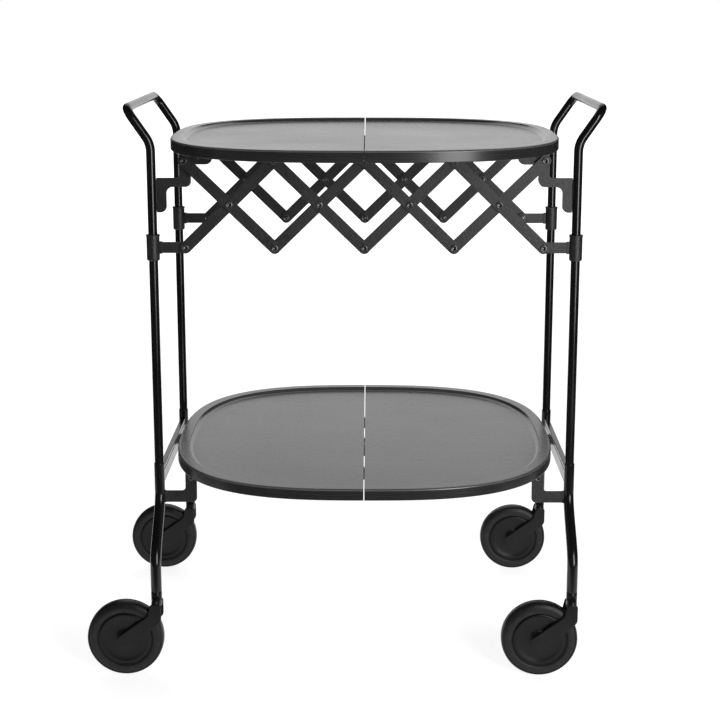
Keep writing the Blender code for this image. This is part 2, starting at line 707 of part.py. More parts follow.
# ---- casters ------------------------------------------------------------------------------------
def add_caster(side, sx, end, sy):
    stem_x = x_at(sx * LEG_X)
    stem_y = sy * STEM_Y
    axle_x = stem_x - CASTER_TRAIL
    name = f"{end}_{side}"
    swivel = f"caster_{name}"
    wheel = f"wheel_{name}"

    bm = bmesh.new()
    neck = [
        (0, FORK_CROWN_Z),
        (FORK_HALF + FORK_T * 0.7, FORK_CROWN_Z),
        (FORK_HALF + FORK_T * 0.7, FORK_CROWN_Z + 0.004),
        (CASTING_FOOT_R, FORK_CROWN_Z + 0.011),
        (CASTING_FOOT_R, FORK_TOP_Z - 0.0012),
        (CASTING_FOOT_R - 0.0012, FORK_TOP_Z),
        (0, FORK_TOP_Z),
    ]
    add_turned(bm, neck, (stem_x, stem_y, 0), "Z", 12)
    fork = add_object(f"caster_fork_{name}", bm, BLACK_NYLON, swivel)
    cheeks = bmesh.new()
    heel = (stem_x, FORK_CROWN_Z + 0.0035)
    outline = capsule((axle_x, WHEEL_R), heel, FORK_TOE_R, FORK_HEEL_R, 5)
    for face in (-1, 1):
        span = sorted((stem_y + face * FORK_HALF, stem_y + face * (FORK_HALF + FORK_T)))
        add_plate(cheeks, outline, *span)
    join(fork, cheeks, f"fork_cheeks_{name}", swivel)
    pin = bmesh.new()
    reach = FORK_HALF + FORK_T / 2
    rod = [(0, -reach), (AXLE_R, -reach), (AXLE_R, reach), (0, reach)]
    add_turned(pin, rod, (axle_x, stem_y, WHEEL_R), "Y", 10)
    join(fork, pin, f"axle_{name}", swivel)

    half = WHEEL_W / 2
    bore = AXLE_R + GAP
    hub = [
        (bore, -half),
        (HUB_BOSS_R, -half),
        (HUB_BOSS_R + 0.0020, HUB_DISH - half),
        (HUB_R, HUB_DISH - half),
        (HUB_R, half - HUB_DISH),
        (HUB_BOSS_R + 0.0020, half - HUB_DISH),
        (HUB_BOSS_R, half),
        (bore, half),
    ]
    bm = bmesh.new()
    add_turned(bm, hub, (axle_x, stem_y, WHEEL_R), "Y", WHEEL_SIDES)
    add_object(f"wheel_hub_{name}", bm, BLACK_NYLON, wheel)

    # the flats of the tyre touch the wheel's true circle, so that it stands on a flat
    out = 1 / math.cos(math.pi / WHEEL_SIDES)
    tyre = [
        (HUB_R + GAP * out, -half + 0.0015),
        ((WHEEL_R - 0.0040) * out, -half),
        (WHEEL_R * out, WHEEL_SHOULDER - half),
        (WHEEL_R * out, half - WHEEL_SHOULDER),
        ((WHEEL_R - 0.0040) * out, half),
        (HUB_R + GAP * out, half - 0.0015),
    ]
    bm = bmesh.new()
    add_turned(bm, tyre, (axle_x, stem_y, WHEEL_R), "Y", WHEEL_SIDES)
    add_object(f"tyre_{name}", bm, BLACK_RUBBER, wheel)


# ---- assembly -----------------------------------------------------------------------------------
add_bodies()
for side_name, side_sign in SIDES:
    add_u_tube(side_name, side_sign)
    add_crossbar(side_name, side_sign)
    for end_name, end_sign in ENDS:
        add_lower_leg(side_name, side_sign, end_name, end_sign)
        add_upper_bracket(side_name, side_sign, end_name, end_sign)
        add_lower_bracket(side_name, side_sign, end_name, end_sign)
        add_sleeve(side_name, side_sign, end_name, end_sign)
        add_caster(side_name, side_sign, end_name, end_sign)
add_bars()
for level_name, level_pivot in (("upper", UPPER_PIVOT_Z), ("lower", LOWER_PIVOT_Z)):
    add_hinge_pins(level_name, level_pivot)
    for side_name, side_sign in SIDES:
        add_tray(level_name, level_pivot, side_name, side_sign)
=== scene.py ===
"""Looks of a folding two-tier serving trolley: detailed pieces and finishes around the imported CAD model.

Metres, +Z up, in the CAD model's own frame. X runs across the fold and Y from front to rear.
Every piece is modelled in place, at rest, and then rides on the CAD body that it belongs to.
"""

import json
import math

import bmesh
import bpy
from mathutils import Matrix, Vector


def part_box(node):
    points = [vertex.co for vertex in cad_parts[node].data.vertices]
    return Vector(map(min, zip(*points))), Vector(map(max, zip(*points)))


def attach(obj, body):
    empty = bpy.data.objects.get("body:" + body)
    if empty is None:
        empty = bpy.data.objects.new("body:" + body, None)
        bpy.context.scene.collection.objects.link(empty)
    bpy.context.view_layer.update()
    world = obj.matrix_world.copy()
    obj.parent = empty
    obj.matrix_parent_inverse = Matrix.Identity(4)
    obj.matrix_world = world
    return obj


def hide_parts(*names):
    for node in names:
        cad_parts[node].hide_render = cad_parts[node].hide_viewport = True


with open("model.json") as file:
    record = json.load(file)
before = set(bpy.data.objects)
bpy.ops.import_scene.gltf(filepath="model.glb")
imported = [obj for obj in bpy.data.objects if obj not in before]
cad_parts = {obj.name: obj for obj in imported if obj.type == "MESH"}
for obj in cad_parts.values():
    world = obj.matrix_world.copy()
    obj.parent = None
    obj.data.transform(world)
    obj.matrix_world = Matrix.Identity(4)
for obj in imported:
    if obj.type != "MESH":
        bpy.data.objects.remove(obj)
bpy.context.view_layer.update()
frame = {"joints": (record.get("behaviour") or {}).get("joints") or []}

# ---- sizes --------------------------------------------------------------------------------------
GAP = 0.0003
SIGN = {"left": -1, "right": 1, "front": -1, "rear": 1}
SIDES = ("left", "right")
ENDS = ("front", "rear")

TUBE_R = 0.0057
TUBE_SIDES = 40
HANDLE_BEND_R = 0.033
HANDLE_CORNER_R = 0.016
HANDLE_BEND_DROP = 0.0435  # start of the outward lean below the grip's axis
HANDLE_LEAN = 0.0297
BEND_STEP = 3.5  # degrees between the rings of a bend
TUBE_PLUG = 0.004  # how far the tube's end goes into its casting

CASTING_R = 0.0066
CASTING_FOOT_R = 0.0069
SWEEP_TOP_Z = 0.225  # the castings swing outward between these heights
SWEEP_BOTTOM_Z = 0.145
SWEEP_STEPS = 44

CROSSBAR_T = 0.0070
CROSSBAR_LIP = 0.0040
CROSSBAR_GROOVE = 0.0016

BAR_R = 0.0073
PLATE_EDGE = 0.00045  # rounding on the edges of every flat plate
RIVET_R = 0.0029
RIVET_HOLE_R = 0.0021
RIVET_DOME_R = 0.0024
RIVET_HEAD_R = 0.0046
RIVET_HEAD_T = 0.0013
RIVET_SIDES = 32

SLEEVE_R = 0.0082
SLEEVE_LIP = 0.0006
SLEEVE_LIP_H = 0.0024
SLEEVE_H = 0.033
SLEEVE_ARM_HALF = 0.0070
SLEEVE_STEP = 0.0006  # how far the arm's shoulder stands proud of the arm

TRAY_HALF = 0.2509
TRAY_ROUNDNESS = 2.8  # exponent of the super-ellipse
TRAY_EDGE_T = 0.0145
TRAY_DISH = 0.0047
TRAY_RIM_W = 0.0140  # flat rim, with a hollow slope of TRAY_COVE_W inside it
TRAY_COVE_W = 0.0060
TRAY_COVE_STEPS = 10
TRAY_COVE_POWER = 2.4  # the higher, the steeper the slope's upper part
TRAY_EDGE_R = 0.0012  # rounding below and above the edge
TRAY_LIP_R = 0.0022
TRAY_EDGE_STEPS = 5
SHADED_EDGE_ROWS = range(2, 9)  # rows of faces between a tray's sections: the edge faces, painted darker as shade, and the slope, given a painted sheen
SHEEN_COVE_ROWS = range(16, 27)
TRAY_PIVOT_DROP = 0.0099
TRAY_STEPS = 72
SPLIT = 0.0012

WHEEL_R = 0.049
HUB_R = 0.0343
WHEEL_W = 0.0190
WHEEL_SIDES = 96
AXLE_R = 0.0040
FORK_T = 0.0026
FORK_HALF = WHEEL_W / 2 + 0.0012
FORK_CROWN = 0.0435  # underside of the fork's crown above the axle
FORK_VOXEL = 0.0007

# ---- places, all from the frame -----------------------------------------------------------------
JOINT_AT = {joint["name"]: Vector(joint["pos_m"]) for joint in frame["joints"]}
CENTRE_X = JOINT_AT["upper_tray_hinge"].x
PIVOT_X = {"left": JOINT_AT["fold"].x, "right": JOINT_AT["upper_tray_right_pivot"].x}
LEG_X = {side: JOINT_AT[f"swivel_front_{side}"].x for side in SIDES}
UPPER_Z = JOINT_AT["fold"].z
LOWER_Z = JOINT_AT["lower_tray_left_pivot"].z
LATTICE_LOW_Z = JOINT_AT["lattice_vertex_1"].z
STEM = {(end, side): JOINT_AT[f"swivel_{end}_{side}"] for end in ENDS for side in SIDES}
AXLE = {(end, side): JOINT_AT[f"roll_{end}_{side}"] for end in ENDS for side in SIDES}
LEG_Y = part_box("u_tube_left")[1].y - TUBE_R
FALLING_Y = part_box("falling_bar_rear_4")[0].y  # the flat plates stack outward in layers
RISING_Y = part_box("rising_bar_rear_1")[0].y
PLATE_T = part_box("rising_bar_rear_1")[1].y - RISING_Y
LAYER = FALLING_Y - RISING_Y
BRACKET_Y = RISING_Y - LAYER
EAR_Y = BRACKET_Y - LAYER
CELLS = 4
CELL_W = (PIVOT_X["right"] - PIVOT_X["left"]) / CELLS


# ---- finishes -----------------------------------------------------------------------------------
class Finish:
    """A Principled material whose colour, roughness and surface relief vary by noise in object space."""

    def __init__(self, name, roughness, metallic=0.0, specular=0.5):
        self.material = bpy.data.materials.new(name)
        self.material.use_nodes = True
        self.tree = self.material.node_tree
        self.shader = self.tree.nodes["Principled BSDF"]
        self.shader.inputs["Roughness"].default_value = roughness
        self.shader.inputs["Metallic"].default_value = metallic
        self.shader.inputs["Specular IOR Level"].default_value = specular
        self.place = self.tree.nodes.new("ShaderNodeTexCoord").outputs["Object"]
        self.relief = None

    def noise(self, scale, detail=3.0, roughness=0.55):
        """Noise between 0 and 1, with scale in cycles per metre along each axis."""
        stretch = self.tree.nodes.new("ShaderNodeMapping")
        stretch.inputs["Scale"].default_value = scale
        self.tree.links.new(self.place, stretch.inputs["Vector"])
        texture = self.tree.nodes.new("ShaderNodeTexNoise")
        texture.inputs["Scale"].default_value = 1.0
        texture.inputs["Detail"].default_value = detail
        texture.inputs["Roughness"].default_value = roughness
        self.tree.links.new(stretch.outputs["Vector"], texture.inputs["Vector"])
        return texture.outputs["Fac"]

    def ranged(self, value, low, high, start=0.3, end=0.7):
        """A value between start and end, spread from low to high."""
        spread = self.tree.nodes.new("ShaderNodeMapRange")
        spread.inputs["From Min"].default_value = start
        spread.inputs["From Max"].default_value = end
        spread.inputs["To Min"].default_value = low
        spread.inputs["To Max"].default_value = high
        self.tree.links.new(value, spread.inputs["Value"])
        return spread.outputs["Result"]

    def product(self, first, second):
        both = self.tree.nodes.new("ShaderNodeMath")
        both.operation = "MULTIPLY"
        self.tree.links.new(first, both.inputs[0])
        self.tree.links.new(second, both.inputs[1])
        return both.outputs["Value"]

    def blended(self, share, first, second):
        mix = self.tree.nodes.new("ShaderNodeMix")
        mix.data_type = "RGBA"
        self.tree.links.new(share, mix.inputs["Factor"])
        for socket, colour in (("A", first), ("B", second)):
            target = next(s for s in mix.inputs if s.name == socket and s.type == "RGBA")
            if isinstance(colour, tuple):
                target.default_value = (*colour, 1.0)
            else:
                self.tree.links.new(colour, target)
        return next(s for s in mix.outputs if s.type == "RGBA")

    def colour(self, source):
        self.tree.links.new(source, self.shader.inputs["Base Color"])

    def roughness(self, source):
        self.tree.links.new(source, self.shader.inputs["Roughness"])

    def bump(self, height, depth, strength=1.0):
        """Adds relief: a height between 0 and 1 stands for this depth in metres."""
        relief = self.tree.nodes.new("ShaderNodeBump")
        relief.inputs["Strength"].default_value = strength
        relief.inputs["Distance"].default_value = depth
        self.tree.links.new(height, relief.inputs["Height"])
        if self.relief:
            self.tree.links.new(self.relief, relief.inputs["Normal"])
        self.relief = relief.outputs["Normal"]
        self.tree.links.new(self.relief, self.shader.inputs["Normal"])


def gloss_enamel():
    """Sprayed black enamel on tube: faint orange peel, and a few wiped, duller patches."""
    made = Finish("gloss_black_enamel", 0.16, specular=0.4)
    smears = made.noise((26, 26, 9), detail=5)
    share = made.ranged(smears, 0, 1)
    made.colour(made.blended(share, (0.004, 0.004, 0.0042), (0.0075, 0.0075, 0.0078)))
    made.roughness(made.ranged(smears, 0.15, 0.25))
    made.bump(made.noise((420, 420, 420), detail=2), 0.00004, 0.5)
    return made.material


def powder_coat():
    """Matt black powder coat with a fine sandy texture that is a little polished in patches."""
    made = Finish("matt_black_powder_coat", 0.42, specular=0.5)
    grains = made.noise((560, 560, 560), detail=3)
    mottle = made.noise((60, 60, 60), detail=4)
    shade = made.product(made.ranged(grains, 0.4, 1.0), made.ranged(mottle, 0.7, 1.0))
    made.colour(made.blended(shade, (0.002, 0.002, 0.0021), (0.024, 0.024, 0.0242)))
    made.roughness(made.ranged(mottle, 0.36, 0.46))
    made.bump(grains, 0.0006, 0.8)
    return made.material


def laminate(name, grain, dark, light, roughness, specular):
    """Charcoal laminate with fine, straight, lengthwise grain."""
    made = Finish(name, roughness, specular=specular)
    fibre = made.noise(grain, detail=4, roughness=0.65)
    broad = made.noise(tuple(scale * 0.16 for scale in grain), detail=3)
    cloud = made.noise((7, 7, 7), detail=3)
    shade = made.product(made.ranged(fibre, 0.5, 1.0), made.ranged(broad, 0.6, 1.0))
    made.colour(made.blended(shade, dark, light))
    worn = made.product(made.ranged(fibre, 0.86, 1.0), made.ranged(cloud, 0.90, 1.06))
    made.roughness(made.ranged(worn, roughness - 0.05, roughness + 0.05, 0.77, 1.06))
    made.bump(fibre, 0.00002, 0.2)
    made.bump(broad, 0.00004, 0.08)
    return made.material


def blackened_steel():
    """Oiled black steel of pins, rivets and hinge barrels, rubbed brighter here and there."""
    made = Finish("blackened_steel", 0.3, metallic=0.8, specular=0.5)
    rubbed = made.noise((240, 240, 240), detail=5, roughness=0.7)
    share = made.ranged(rubbed, 0, 1, 0.42, 0.72)
    made.colour(made.blended(share, (0.08, 0.08, 0.082), (0.24, 0.24, 0.245)))
    made.roughness(made.ranged(rubbed, 0.22, 0.38))
    made.bump(made.noise((900, 900, 900), detail=2), 0.00004, 0.4)
    return made.material


def nylon():
    """Moulded glass-filled nylon: satin, with a fine spark-eroded grain."""
    made = Finish("black_nylon", 0.3, specular=0.2)
    grain = made.noise((1100, 1100, 1100), detail=2)
    flow = made.noise((45, 45, 16), detail=4)
    share = made.ranged(flow, 0, 1)
    made.colour(made.blended(share, (0.0035, 0.0035, 0.0036), (0.008, 0.008, 0.0081)))
    made.roughness(made.ranged(flow, 0.24, 0.34))
    made.bump(grain, 0.00006, 0.4)
    return made.material


def rubber():
    """Black tyre rubber, dull, with faint dust and scuffs."""
    made = Finish("black_rubber", 0.42, specular=0.24)
    dust = made.noise((110, 110, 110), detail=6, roughness=0.7)
    share = made.ranged(dust, 0, 1, 0.5, 0.8)
    made.colour(made.blended(share, (0.009, 0.009, 0.009), (0.022, 0.0216, 0.0212)))
    made.roughness(made.ranged(dust, 0.34, 0.5))
    made.bump(made.noise((700, 700, 700), detail=3), 0.00008, 0.4)
    return made.material


FLOOR_GRAIN = (9, 300, 300)  # cycles per metre along each axis
EDGE_GRAIN = (16, 16, 900)
FLOOR_SHADES = (0.058, 0.058, 0.059), (0.105, 0.105, 0.106)
# colours of the slope's copy of the laminate, which carries a painted sheen
SHEEN_COVE_COLOURS = (0.05, 0.05, 0.051), (0.09, 0.09, 0.091)
# painted shade: colours for the edge faces, far darker than the floor's although both are the same
# laminate
SHADED_EDGE_COLOURS = (0.010, 0.010, 0.0102), (0.024, 0.024, 0.0243)
FINISHES = {
    "frame_enamel": gloss_enamel(),
    "fitting_powder_coat": powder_coat(),
    "tray_laminate": laminate("charcoal_laminate", FLOOR_GRAIN, *FLOOR_SHADES, 0.26, 0.6),
    "pin_steel": blackened_steel(),
    "caster_nylon": nylon(),
    "tyre_rubber": rubber(),
}
# the slope inside the rim is a smoother copy of the laminate that reflects far more strongly: a painted
# sheen, so that it reads as a bright crescent
COVE_PAINTED_SHEEN = laminate("laminate_painted_sheen", FLOOR_GRAIN, *SHEEN_COVE_COLOURS, 0.2, 1.0)
# painted shade: a darker copy of the laminate for the tray's edge faces, with its grain running round the
# edge
SHADED_EDGE_LAMINATE = laminate("charcoal_laminate_painted_shade", EDGE_GRAIN, *SHADED_EDGE_COLOURS, 0.27, 0.4)


# ---- making pieces ------------------------------------------------------------------------------
def mesh_from(name, bm):
    """Turn a bmesh into a mesh and free it."""
    mesh = bpy.data.meshes.new(name)
    bm.to_mesh(mesh)
    bm.free()
    return mesh


def put(name, data, at=(0, 0, 0)):
    """A new object in the scene."""
    made = bpy.data.objects.new(name, data)
    made.location = at
    bpy.context.scene.collection.objects.link(made)
    return made


def ride_as(made, body, stands_for=()):
    """Declare a piece: the body it moves with and the nodes it stands for."""
    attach(made, body)
    if stands_for:
        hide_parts(*stands_for)
    return made


def new_piece(name, bm, body, slot, stands_for=(), sharp=50):
    """Turn a bmesh in world coordinates into a piece with its slot's finish."""
    mesh = mesh_from(name, bm)
    mesh.shade_smooth()
    mesh.set_sharp_from_angle(angle=math.radians(sharp))
    mesh.materials.append(FINISHES[slot])
    made = put(name, mesh)
    even = made.modifiers.new("even_normals", "WEIGHTED_NORMAL")
    even.keep_sharp = True
    return ride_as(made, body, stands_for)


# ---- outlines -----------------------------------------------------------------------------------
def arc(centre, radius, start, end, steps):
    """Points on an arc, angles in degrees."""
    points = []
    for k in range(steps + 1):
        angle = math.radians(start + (end - start) * k / steps)
        points.append((centre[0] + radius * math.cos(angle), centre[1] + radius * math.sin(angle)))
    return points


def circle(centre, radius, steps):
    return arc(centre, radius, 0, 360 - 360 / steps, steps - 1)


def rounded(corners, steps=10):
    """A closed outline through corners (u, v, fillet radius), with an arc at each corner that has one."""
    outline = []
    count = len(corners)
    for k, (u, v, radius) in enumerate(corners):
        here = Vector((u, v))
        if not radius:
            outline.append((u, v))
            continue
        back = (Vector(corners[k - 1][:2]) - here).normalized()
        ahead = (Vector(corners[(k + 1) % count][:2]) - here).normalized()
        half = back.angle(ahead) / 2
        centre = here + (back + ahead).normalized() * (radius / math.sin(half))
        first = here + back * (radius / math.tan(half)) - centre
        last = here + ahead * (radius / math.tan(half)) - centre
        turn = first.angle_signed(last)
        for j in range(steps + 1):
            spoke = first.copy()
            spoke.rotate(Matrix.Rotation(-turn * j / steps, 2))
            outline.append(tuple(centre + spoke))
    return outline


def rectangle(low, high, soft, steps):
    """A rectangle's outline from its two corners, with rounded corners."""
    corners = ((low[0], low[1]), (high[0], low[1]), (high[0], high[1]), (low[0], high[1]))
    return rounded([(*corner, soft) for corner in corners], steps)


def capsule(start, end, radius_a, radius_b, steps=16):
    """The outline around two circles and their common tangents."""
    a = Vector(start)
    b = Vector(end)
    heading = math.degrees(math.atan2(b.y - a.y, b.x - a.x))
    lean = math.degrees(math.asin((radius_a - radius_b) / (b - a).length))
    far = arc(b, radius_b, heading - 90 + lean, heading + 90 - lean, steps)
    near = arc(a, radius_a, heading + 90 - lean, heading + 270 + lean, steps)
    return far + near


def area_of(loop):
    """Signed area, above zero where the loop runs anticlockwise."""
    pairs = zip(loop, loop[1:] + loop[:1])
    return sum(a[0] * b[1] - b[0] * a[1] for a, b in pairs) / 2


def inset(loop, distance):
    """The loop moved to its left by a distance, with mitred corners."""
    moved = []
    count = len(loop)
    for k, point in enumerate(loop):
        here = Vector(point)
        back = (here - Vector(loop[k - 1])).normalized()
        ahead = (Vector(loop[(k + 1) % count]) - here).normalized()
        normal = Vector((-back.y - ahead.y, back.x + ahead.x))
        mitre = max(0.4, 1 + back.dot(ahead))
        moved.append(tuple(here + normal * (distance / mitre)))
    return moved


# ---- solids -------------------------------------------------------------------------------------
def add_plate(bm, outline, y_low, y_high, holes=(), edge=PLATE_EDGE, steps=3):
    """A flat plate in the XZ plane between two Y values, its edges and holes rounded over."""
    levels = []
    for k in range(steps + 1):
        angle = math.pi / 2 * k / steps
        levels.append((edge * (1 - math.cos(angle)), edge * (1 - math.sin(angle))))
    caps = ([], [])
    for hole, loop in [(False, outline)] + [(True, loop) for loop in holes]:
        if (area_of(loop) > 0) == hole:
            loop = loop[::-1]
        rings = []
        for depth, margin in levels:
            rings.append((y_low + depth, margin))
        for depth, margin in reversed(levels):
            rings.append((y_high - depth, margin))
        made = []
        for y, margin in rings:
            made.append([bm.verts.new((u, y, v)) for u, v in inset(loop, margin)])
        for low, high in zip(made, made[1:]):
            for k in range(len(loop)):
                n = (k + 1) % len(loop)
                bm.faces.new((low[k], high[k], high[n], low[n]))
        for cap, ring in zip(caps, (made[0], made[-1])):
            for k in range(len(ring)):
                cap.append(bm.edges.get((ring[k], ring[(k + 1) % len(ring)])))
    for cap, way in zip(caps, (-1, 1)):
        bmesh.ops.triangle_fill(bm, use_beauty=True, edges=cap, normal=(0, way, 0))
    bmesh.ops.recalc_face_normals(bm, faces=bm.faces)


def add_turned(bm, profile, at, axis, sides, scale=(1, 1)):
    """A solid of revolution from (radius, height) points along the 'Y' or 'Z' axis at a point."""
    turn = Matrix.Rotation(-math.pi / 2, 4, "X") if axis == "Y" else Matrix.Identity(4)
    place = Matrix.Translation(at) @ turn
    rings = []
    for radius, height in profile:
        if radius == 0:
            rings.append([bm.verts.new(place @ Vector((0, 0, height)))] * sides)
            continue
        ring = []
        for k in range(sides):
            angle = 2 * math.pi * k / sides
            x = scale[0] * radius * math.cos(angle)
            y = scale[1] * radius * math.sin(angle)
            ring.append(bm.verts.new(place @ Vector((x, y, height))))
        rings.append(ring)
    pairs = list(zip(rings, rings[1:]))
    if profile[0][0] and profile[-1][0]:
        pairs.append((rings[-1], rings[0]))
    faces = []
    for low, high in pairs:
        for k in range(sides):
            n = (k + 1) % sides
            corners = []
            for vert in (low[k], low[n], high[n], high[k]):
                if vert not in corners:
                    corners.append(vert)
            faces.append(bm.faces.new(corners))
    bmesh.ops.recalc_face_normals(bm, faces=faces)


def filleted_path(corners, spacing):
    """Points along a route of straight runs and arcs, from corners (point, bend radius)."""
    points = [Vector(corners[0][0])]
    for k in range(1, len(corners) - 1):
        here, radius = Vector(corners[k][0]), corners[k][1]
        back = (Vector(corners[k - 1][0]) - here).normalized()
        ahead = (Vector(corners[k + 1][0]) - here).normalized()
        half = back.angle(ahead) / 2
        centre = here + (back + ahead).normalized() * (radius / math.sin(half))
        first = here + back * (radius / math.tan(half)) - centre
        last = here + ahead * (radius / math.tan(half)) - centre
        steps = max(2, round(first.angle(last) / spacing))
        for j in range(steps + 1):
            points.append(centre + radius * first.normalized().slerp(last.normalized(), j / steps))
    points.append(Vector(corners[-1][0]))
    return points


def add_tube(bm, points, radii, sides):
    """A solid rod along points, with a radius for each; its rings stay square to the route."""
    rings = []
    side = Vector((1, 0, 0))
    for k, point in enumerate(points):
        before = points[max(k - 1, 0)]
        after = points[min(k + 1, len(points) - 1)]
        along = ((point - before).normalized() + (after - point).normalized()).normalized()
        side = (side - along * side.dot(along)).normalized()
        other = along.cross(side)
        mitre = 1.0
        if 0 < k < len(points) - 1:
            mitre = 1 / math.cos((point - before).angle(after - point) / 2)
        ring = []
        for j in range(sides):
            angle = 2 * math.pi * j / sides
            offset = side * math.cos(angle) + other * math.sin(angle)
            ring.append(bm.verts.new(point + offset * radii[k] * mitre))
        rings.append(ring)
    for low, high in zip(rings, rings[1:]):
        for j in range(sides):
            n = (j + 1) % sides
            bm.faces.new((low[j], low[n], high[n], high[j]))
    bm.faces.new(rings[0])
    bm.faces.new(rings[-1])
    bmesh.ops.recalc_face_normals(bm, faces=bm.faces)


def add_bead(bm, start, end, radius, ripples):
    """A weld bead: a rod whose thickness ripples along its length."""
    steps = ripples * 6
    points = []
    radii = []
    for k in range(steps + 1):
        share = k / steps
        taper = min(1.0, 5 * share, 5 * (1 - share)) ** 0.5
        points.append(Vector(start).lerp(Vector(end), share))
        ripple = 1 + 0.12 * math.cos(2 * math.pi * ripples * share)
        radii.append(radius * (0.25 + 0.75 * taper) * ripple)
    add_tube(bm, points, radii, 12)


def plate_span(sy, layer_y):
    """The two Y values of a plate in the layer that starts at layer_y, at the front or the rear."""
    return sorted((sy * layer_y, sy * (layer_y + PLATE_T)))


def rivet(x, z, sy, inner, outer, inner_head=True, outer_head=True):
    """A rivet between two depths from y = 0, with a rolled, hollow outer end and a domed inner end."""
    profile = [(0, inner)]
    if inner_head:
        tip = inner - RIVET_HEAD_T
        turns = [0.3 * k for k in range(6)]
        profile = [
            *((RIVET_DOME_R * math.sin(turn), tip - 0.0006 * math.cos(turn)) for turn in turns),
            (RIVET_DOME_R + 0.0001, tip + 0.0004),
            (RIVET_DOME_R + 0.0005, tip + 0.0003),
            (RIVET_DOME_R + 0.0009, tip),
            (RIVET_HEAD_R - 0.0006, tip + 0.0001),
            (RIVET_HEAD_R - 0.0001, tip + 0.0005),
            (RIVET_HEAD_R, inner - 0.0001),
        ]
    profile.append((RIVET_R, inner - 0.0001 if inner_head else inner))
    if outer_head:
        top = outer + RIVET_HEAD_T
        profile += [
            (RIVET_R, outer + 0.0001),
            (RIVET_HEAD_R, outer + 0.0001),
            (RIVET_HEAD_R, outer + 0.0003),
            (RIVET_HEAD_R - 0.0002, top - 0.0005),
            (RIVET_HEAD_R - 0.0008, top - 0.0001),
            (RIVET_HOLE_R + 0.0010, top),
            (RIVET_HOLE_R + 0.0005, top - 0.0001),
            (RIVET_HOLE_R + 0.0001, top - 0.0005),
            (RIVET_HOLE_R, top - 0.0010),
            (RIVET_HOLE_R * 0.96, outer - 0.0014),
            (RIVET_HOLE_R * 0.60, outer - 0.0019),
            (0, outer - 0.0021),
        ]
    else:
        profile += [(RIVET_R, outer), (0, outer)]
    profile = [(radius, sy * depth) for radius, depth in profile]
    bm = bmesh.new()
    add_turned(bm, profile, (x, 0, z), "Y", RIVET_SIDES)
    return bm


def loose_hole(x, z):
    """The hole of a plate that turns on a rivet."""
    return circle((x, z), RIVET_R + GAP, RIVET_SIDES)


# ---- frames -------------------------------------------------------------------------------------
def u_tube(side):
    """One bent tube: a leg, the grip that leans outward, and the other leg."""
    low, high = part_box(f"u_tube_{side}")
    leg = LEG_X[side]
    grip = leg + SIGN[side] * HANDLE_LEAN
    top = high.z - TUBE_R
    bend = top - HANDLE_BEND_DROP
    foot = low.z - TUBE_PLUG
    route = [
        ((leg, -LEG_Y, foot), 0),
        ((leg, -LEG_Y, bend), HANDLE_BEND_R),
        ((grip, -LEG_Y, top), HANDLE_CORNER_R),
        ((grip, LEG_Y, top), HANDLE_CORNER_R),
        ((leg, LEG_Y, bend), HANDLE_BEND_R),
        ((leg, LEG_Y, foot), 0),
    ]
    points = filleted_path(route, math.radians(BEND_STEP))
    bm = bmesh.new()
    add_tube(bm, points, [TUBE_R] * len(points), TUBE_SIDES)
    new_piece(f"bent_tube_{side}", bm, f"{side}_frame", "frame_enamel", [f"u_tube_{side}"])


def casting(end, side):
    """Cast foot of a leg: a socket with a rounded mouth, an outward sweep and a chamfered foot."""
    low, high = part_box(f"lower_leg_{end}_{side}")
    sy = SIGN[end]
    foot_y = STEM[end, side].y
    mouth = [
        (high.z, 0.0059),
        (high.z - 0.0001, 0.0062),
        (high.z - 0.0004, 0.0065),
        (high.z - 0.0009, CASTING_R),
    ]
    foot = [
        (low.z + 0.0008, CASTING_FOOT_R),
        (low.z + 0.0002, CASTING_FOOT_R - 0.0003),
        (low.z, CASTING_FOOT_R - 0.0008),
    ]
    sweep = []
    for k in range(SWEEP_STEPS + 1):
        share = k / SWEEP_STEPS
        ease = share * share * (3 - 2 * share)
        sweep.append((SWEEP_TOP_Z + (SWEEP_BOTTOM_Z - SWEEP_TOP_Z) * share, ease))
    points = []
    radii = []
    for z, radius in mouth:
        points.append(Vector((LEG_X[side], sy * LEG_Y, z)))
        radii.append(radius)
    for z, ease in sweep:
        points.append(Vector((LEG_X[side], sy * LEG_Y + (foot_y - sy * LEG_Y) * ease, z)))
        radii.append(CASTING_R + (CASTING_FOOT_R - CASTING_R) * ease)
    for z, radius in foot:
        points.append(Vector((LEG_X[side], foot_y, z)))
        radii.append(radius)
    bm = bmesh.new()
    add_tube(bm, points, radii, TUBE_SIDES)
    name = f"{end}_{side}"
    node = f"lower_leg_{name}"
    new_piece(f"casting_{name}", bm, f"{side}_frame", "frame_enamel", [node], sharp=35)


def crossbar(side):
    """Rail between two castings, with a groove under its top lip."""
    low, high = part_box(f"crossbar_{side}")
    half = CROSSBAR_T / 2
    groove_top = high.z - CROSSBAR_LIP
    groove_low = groove_top - CROSSBAR_GROOVE
    soft = 0.0008
    corners = [
        (-half, low.z, soft),
        (half, low.z, soft),
        (half, groove_low, 0.0003),
        (half - CROSSBAR_GROOVE, groove_low, 0.0004),
        (half - CROSSBAR_GROOVE, groove_top, 0.0004),
        (half, groove_top, 0.0003),
        (half, high.z, soft),
        (-half, high.z, soft),
    ]
    sx = SIGN[side]
    bm = bmesh.new()
    section = [(LEG_X[side] - sx * u, v) for u, v in rounded(corners, 4)]
    add_plate(bm, section, low.y - 0.0002, high.y + 0.0002, edge=0.0003, steps=2)
    new_piece(f"rail_{side}", bm, f"{side}_frame", "frame_enamel", [f"crossbar_{side}"], sharp=35)


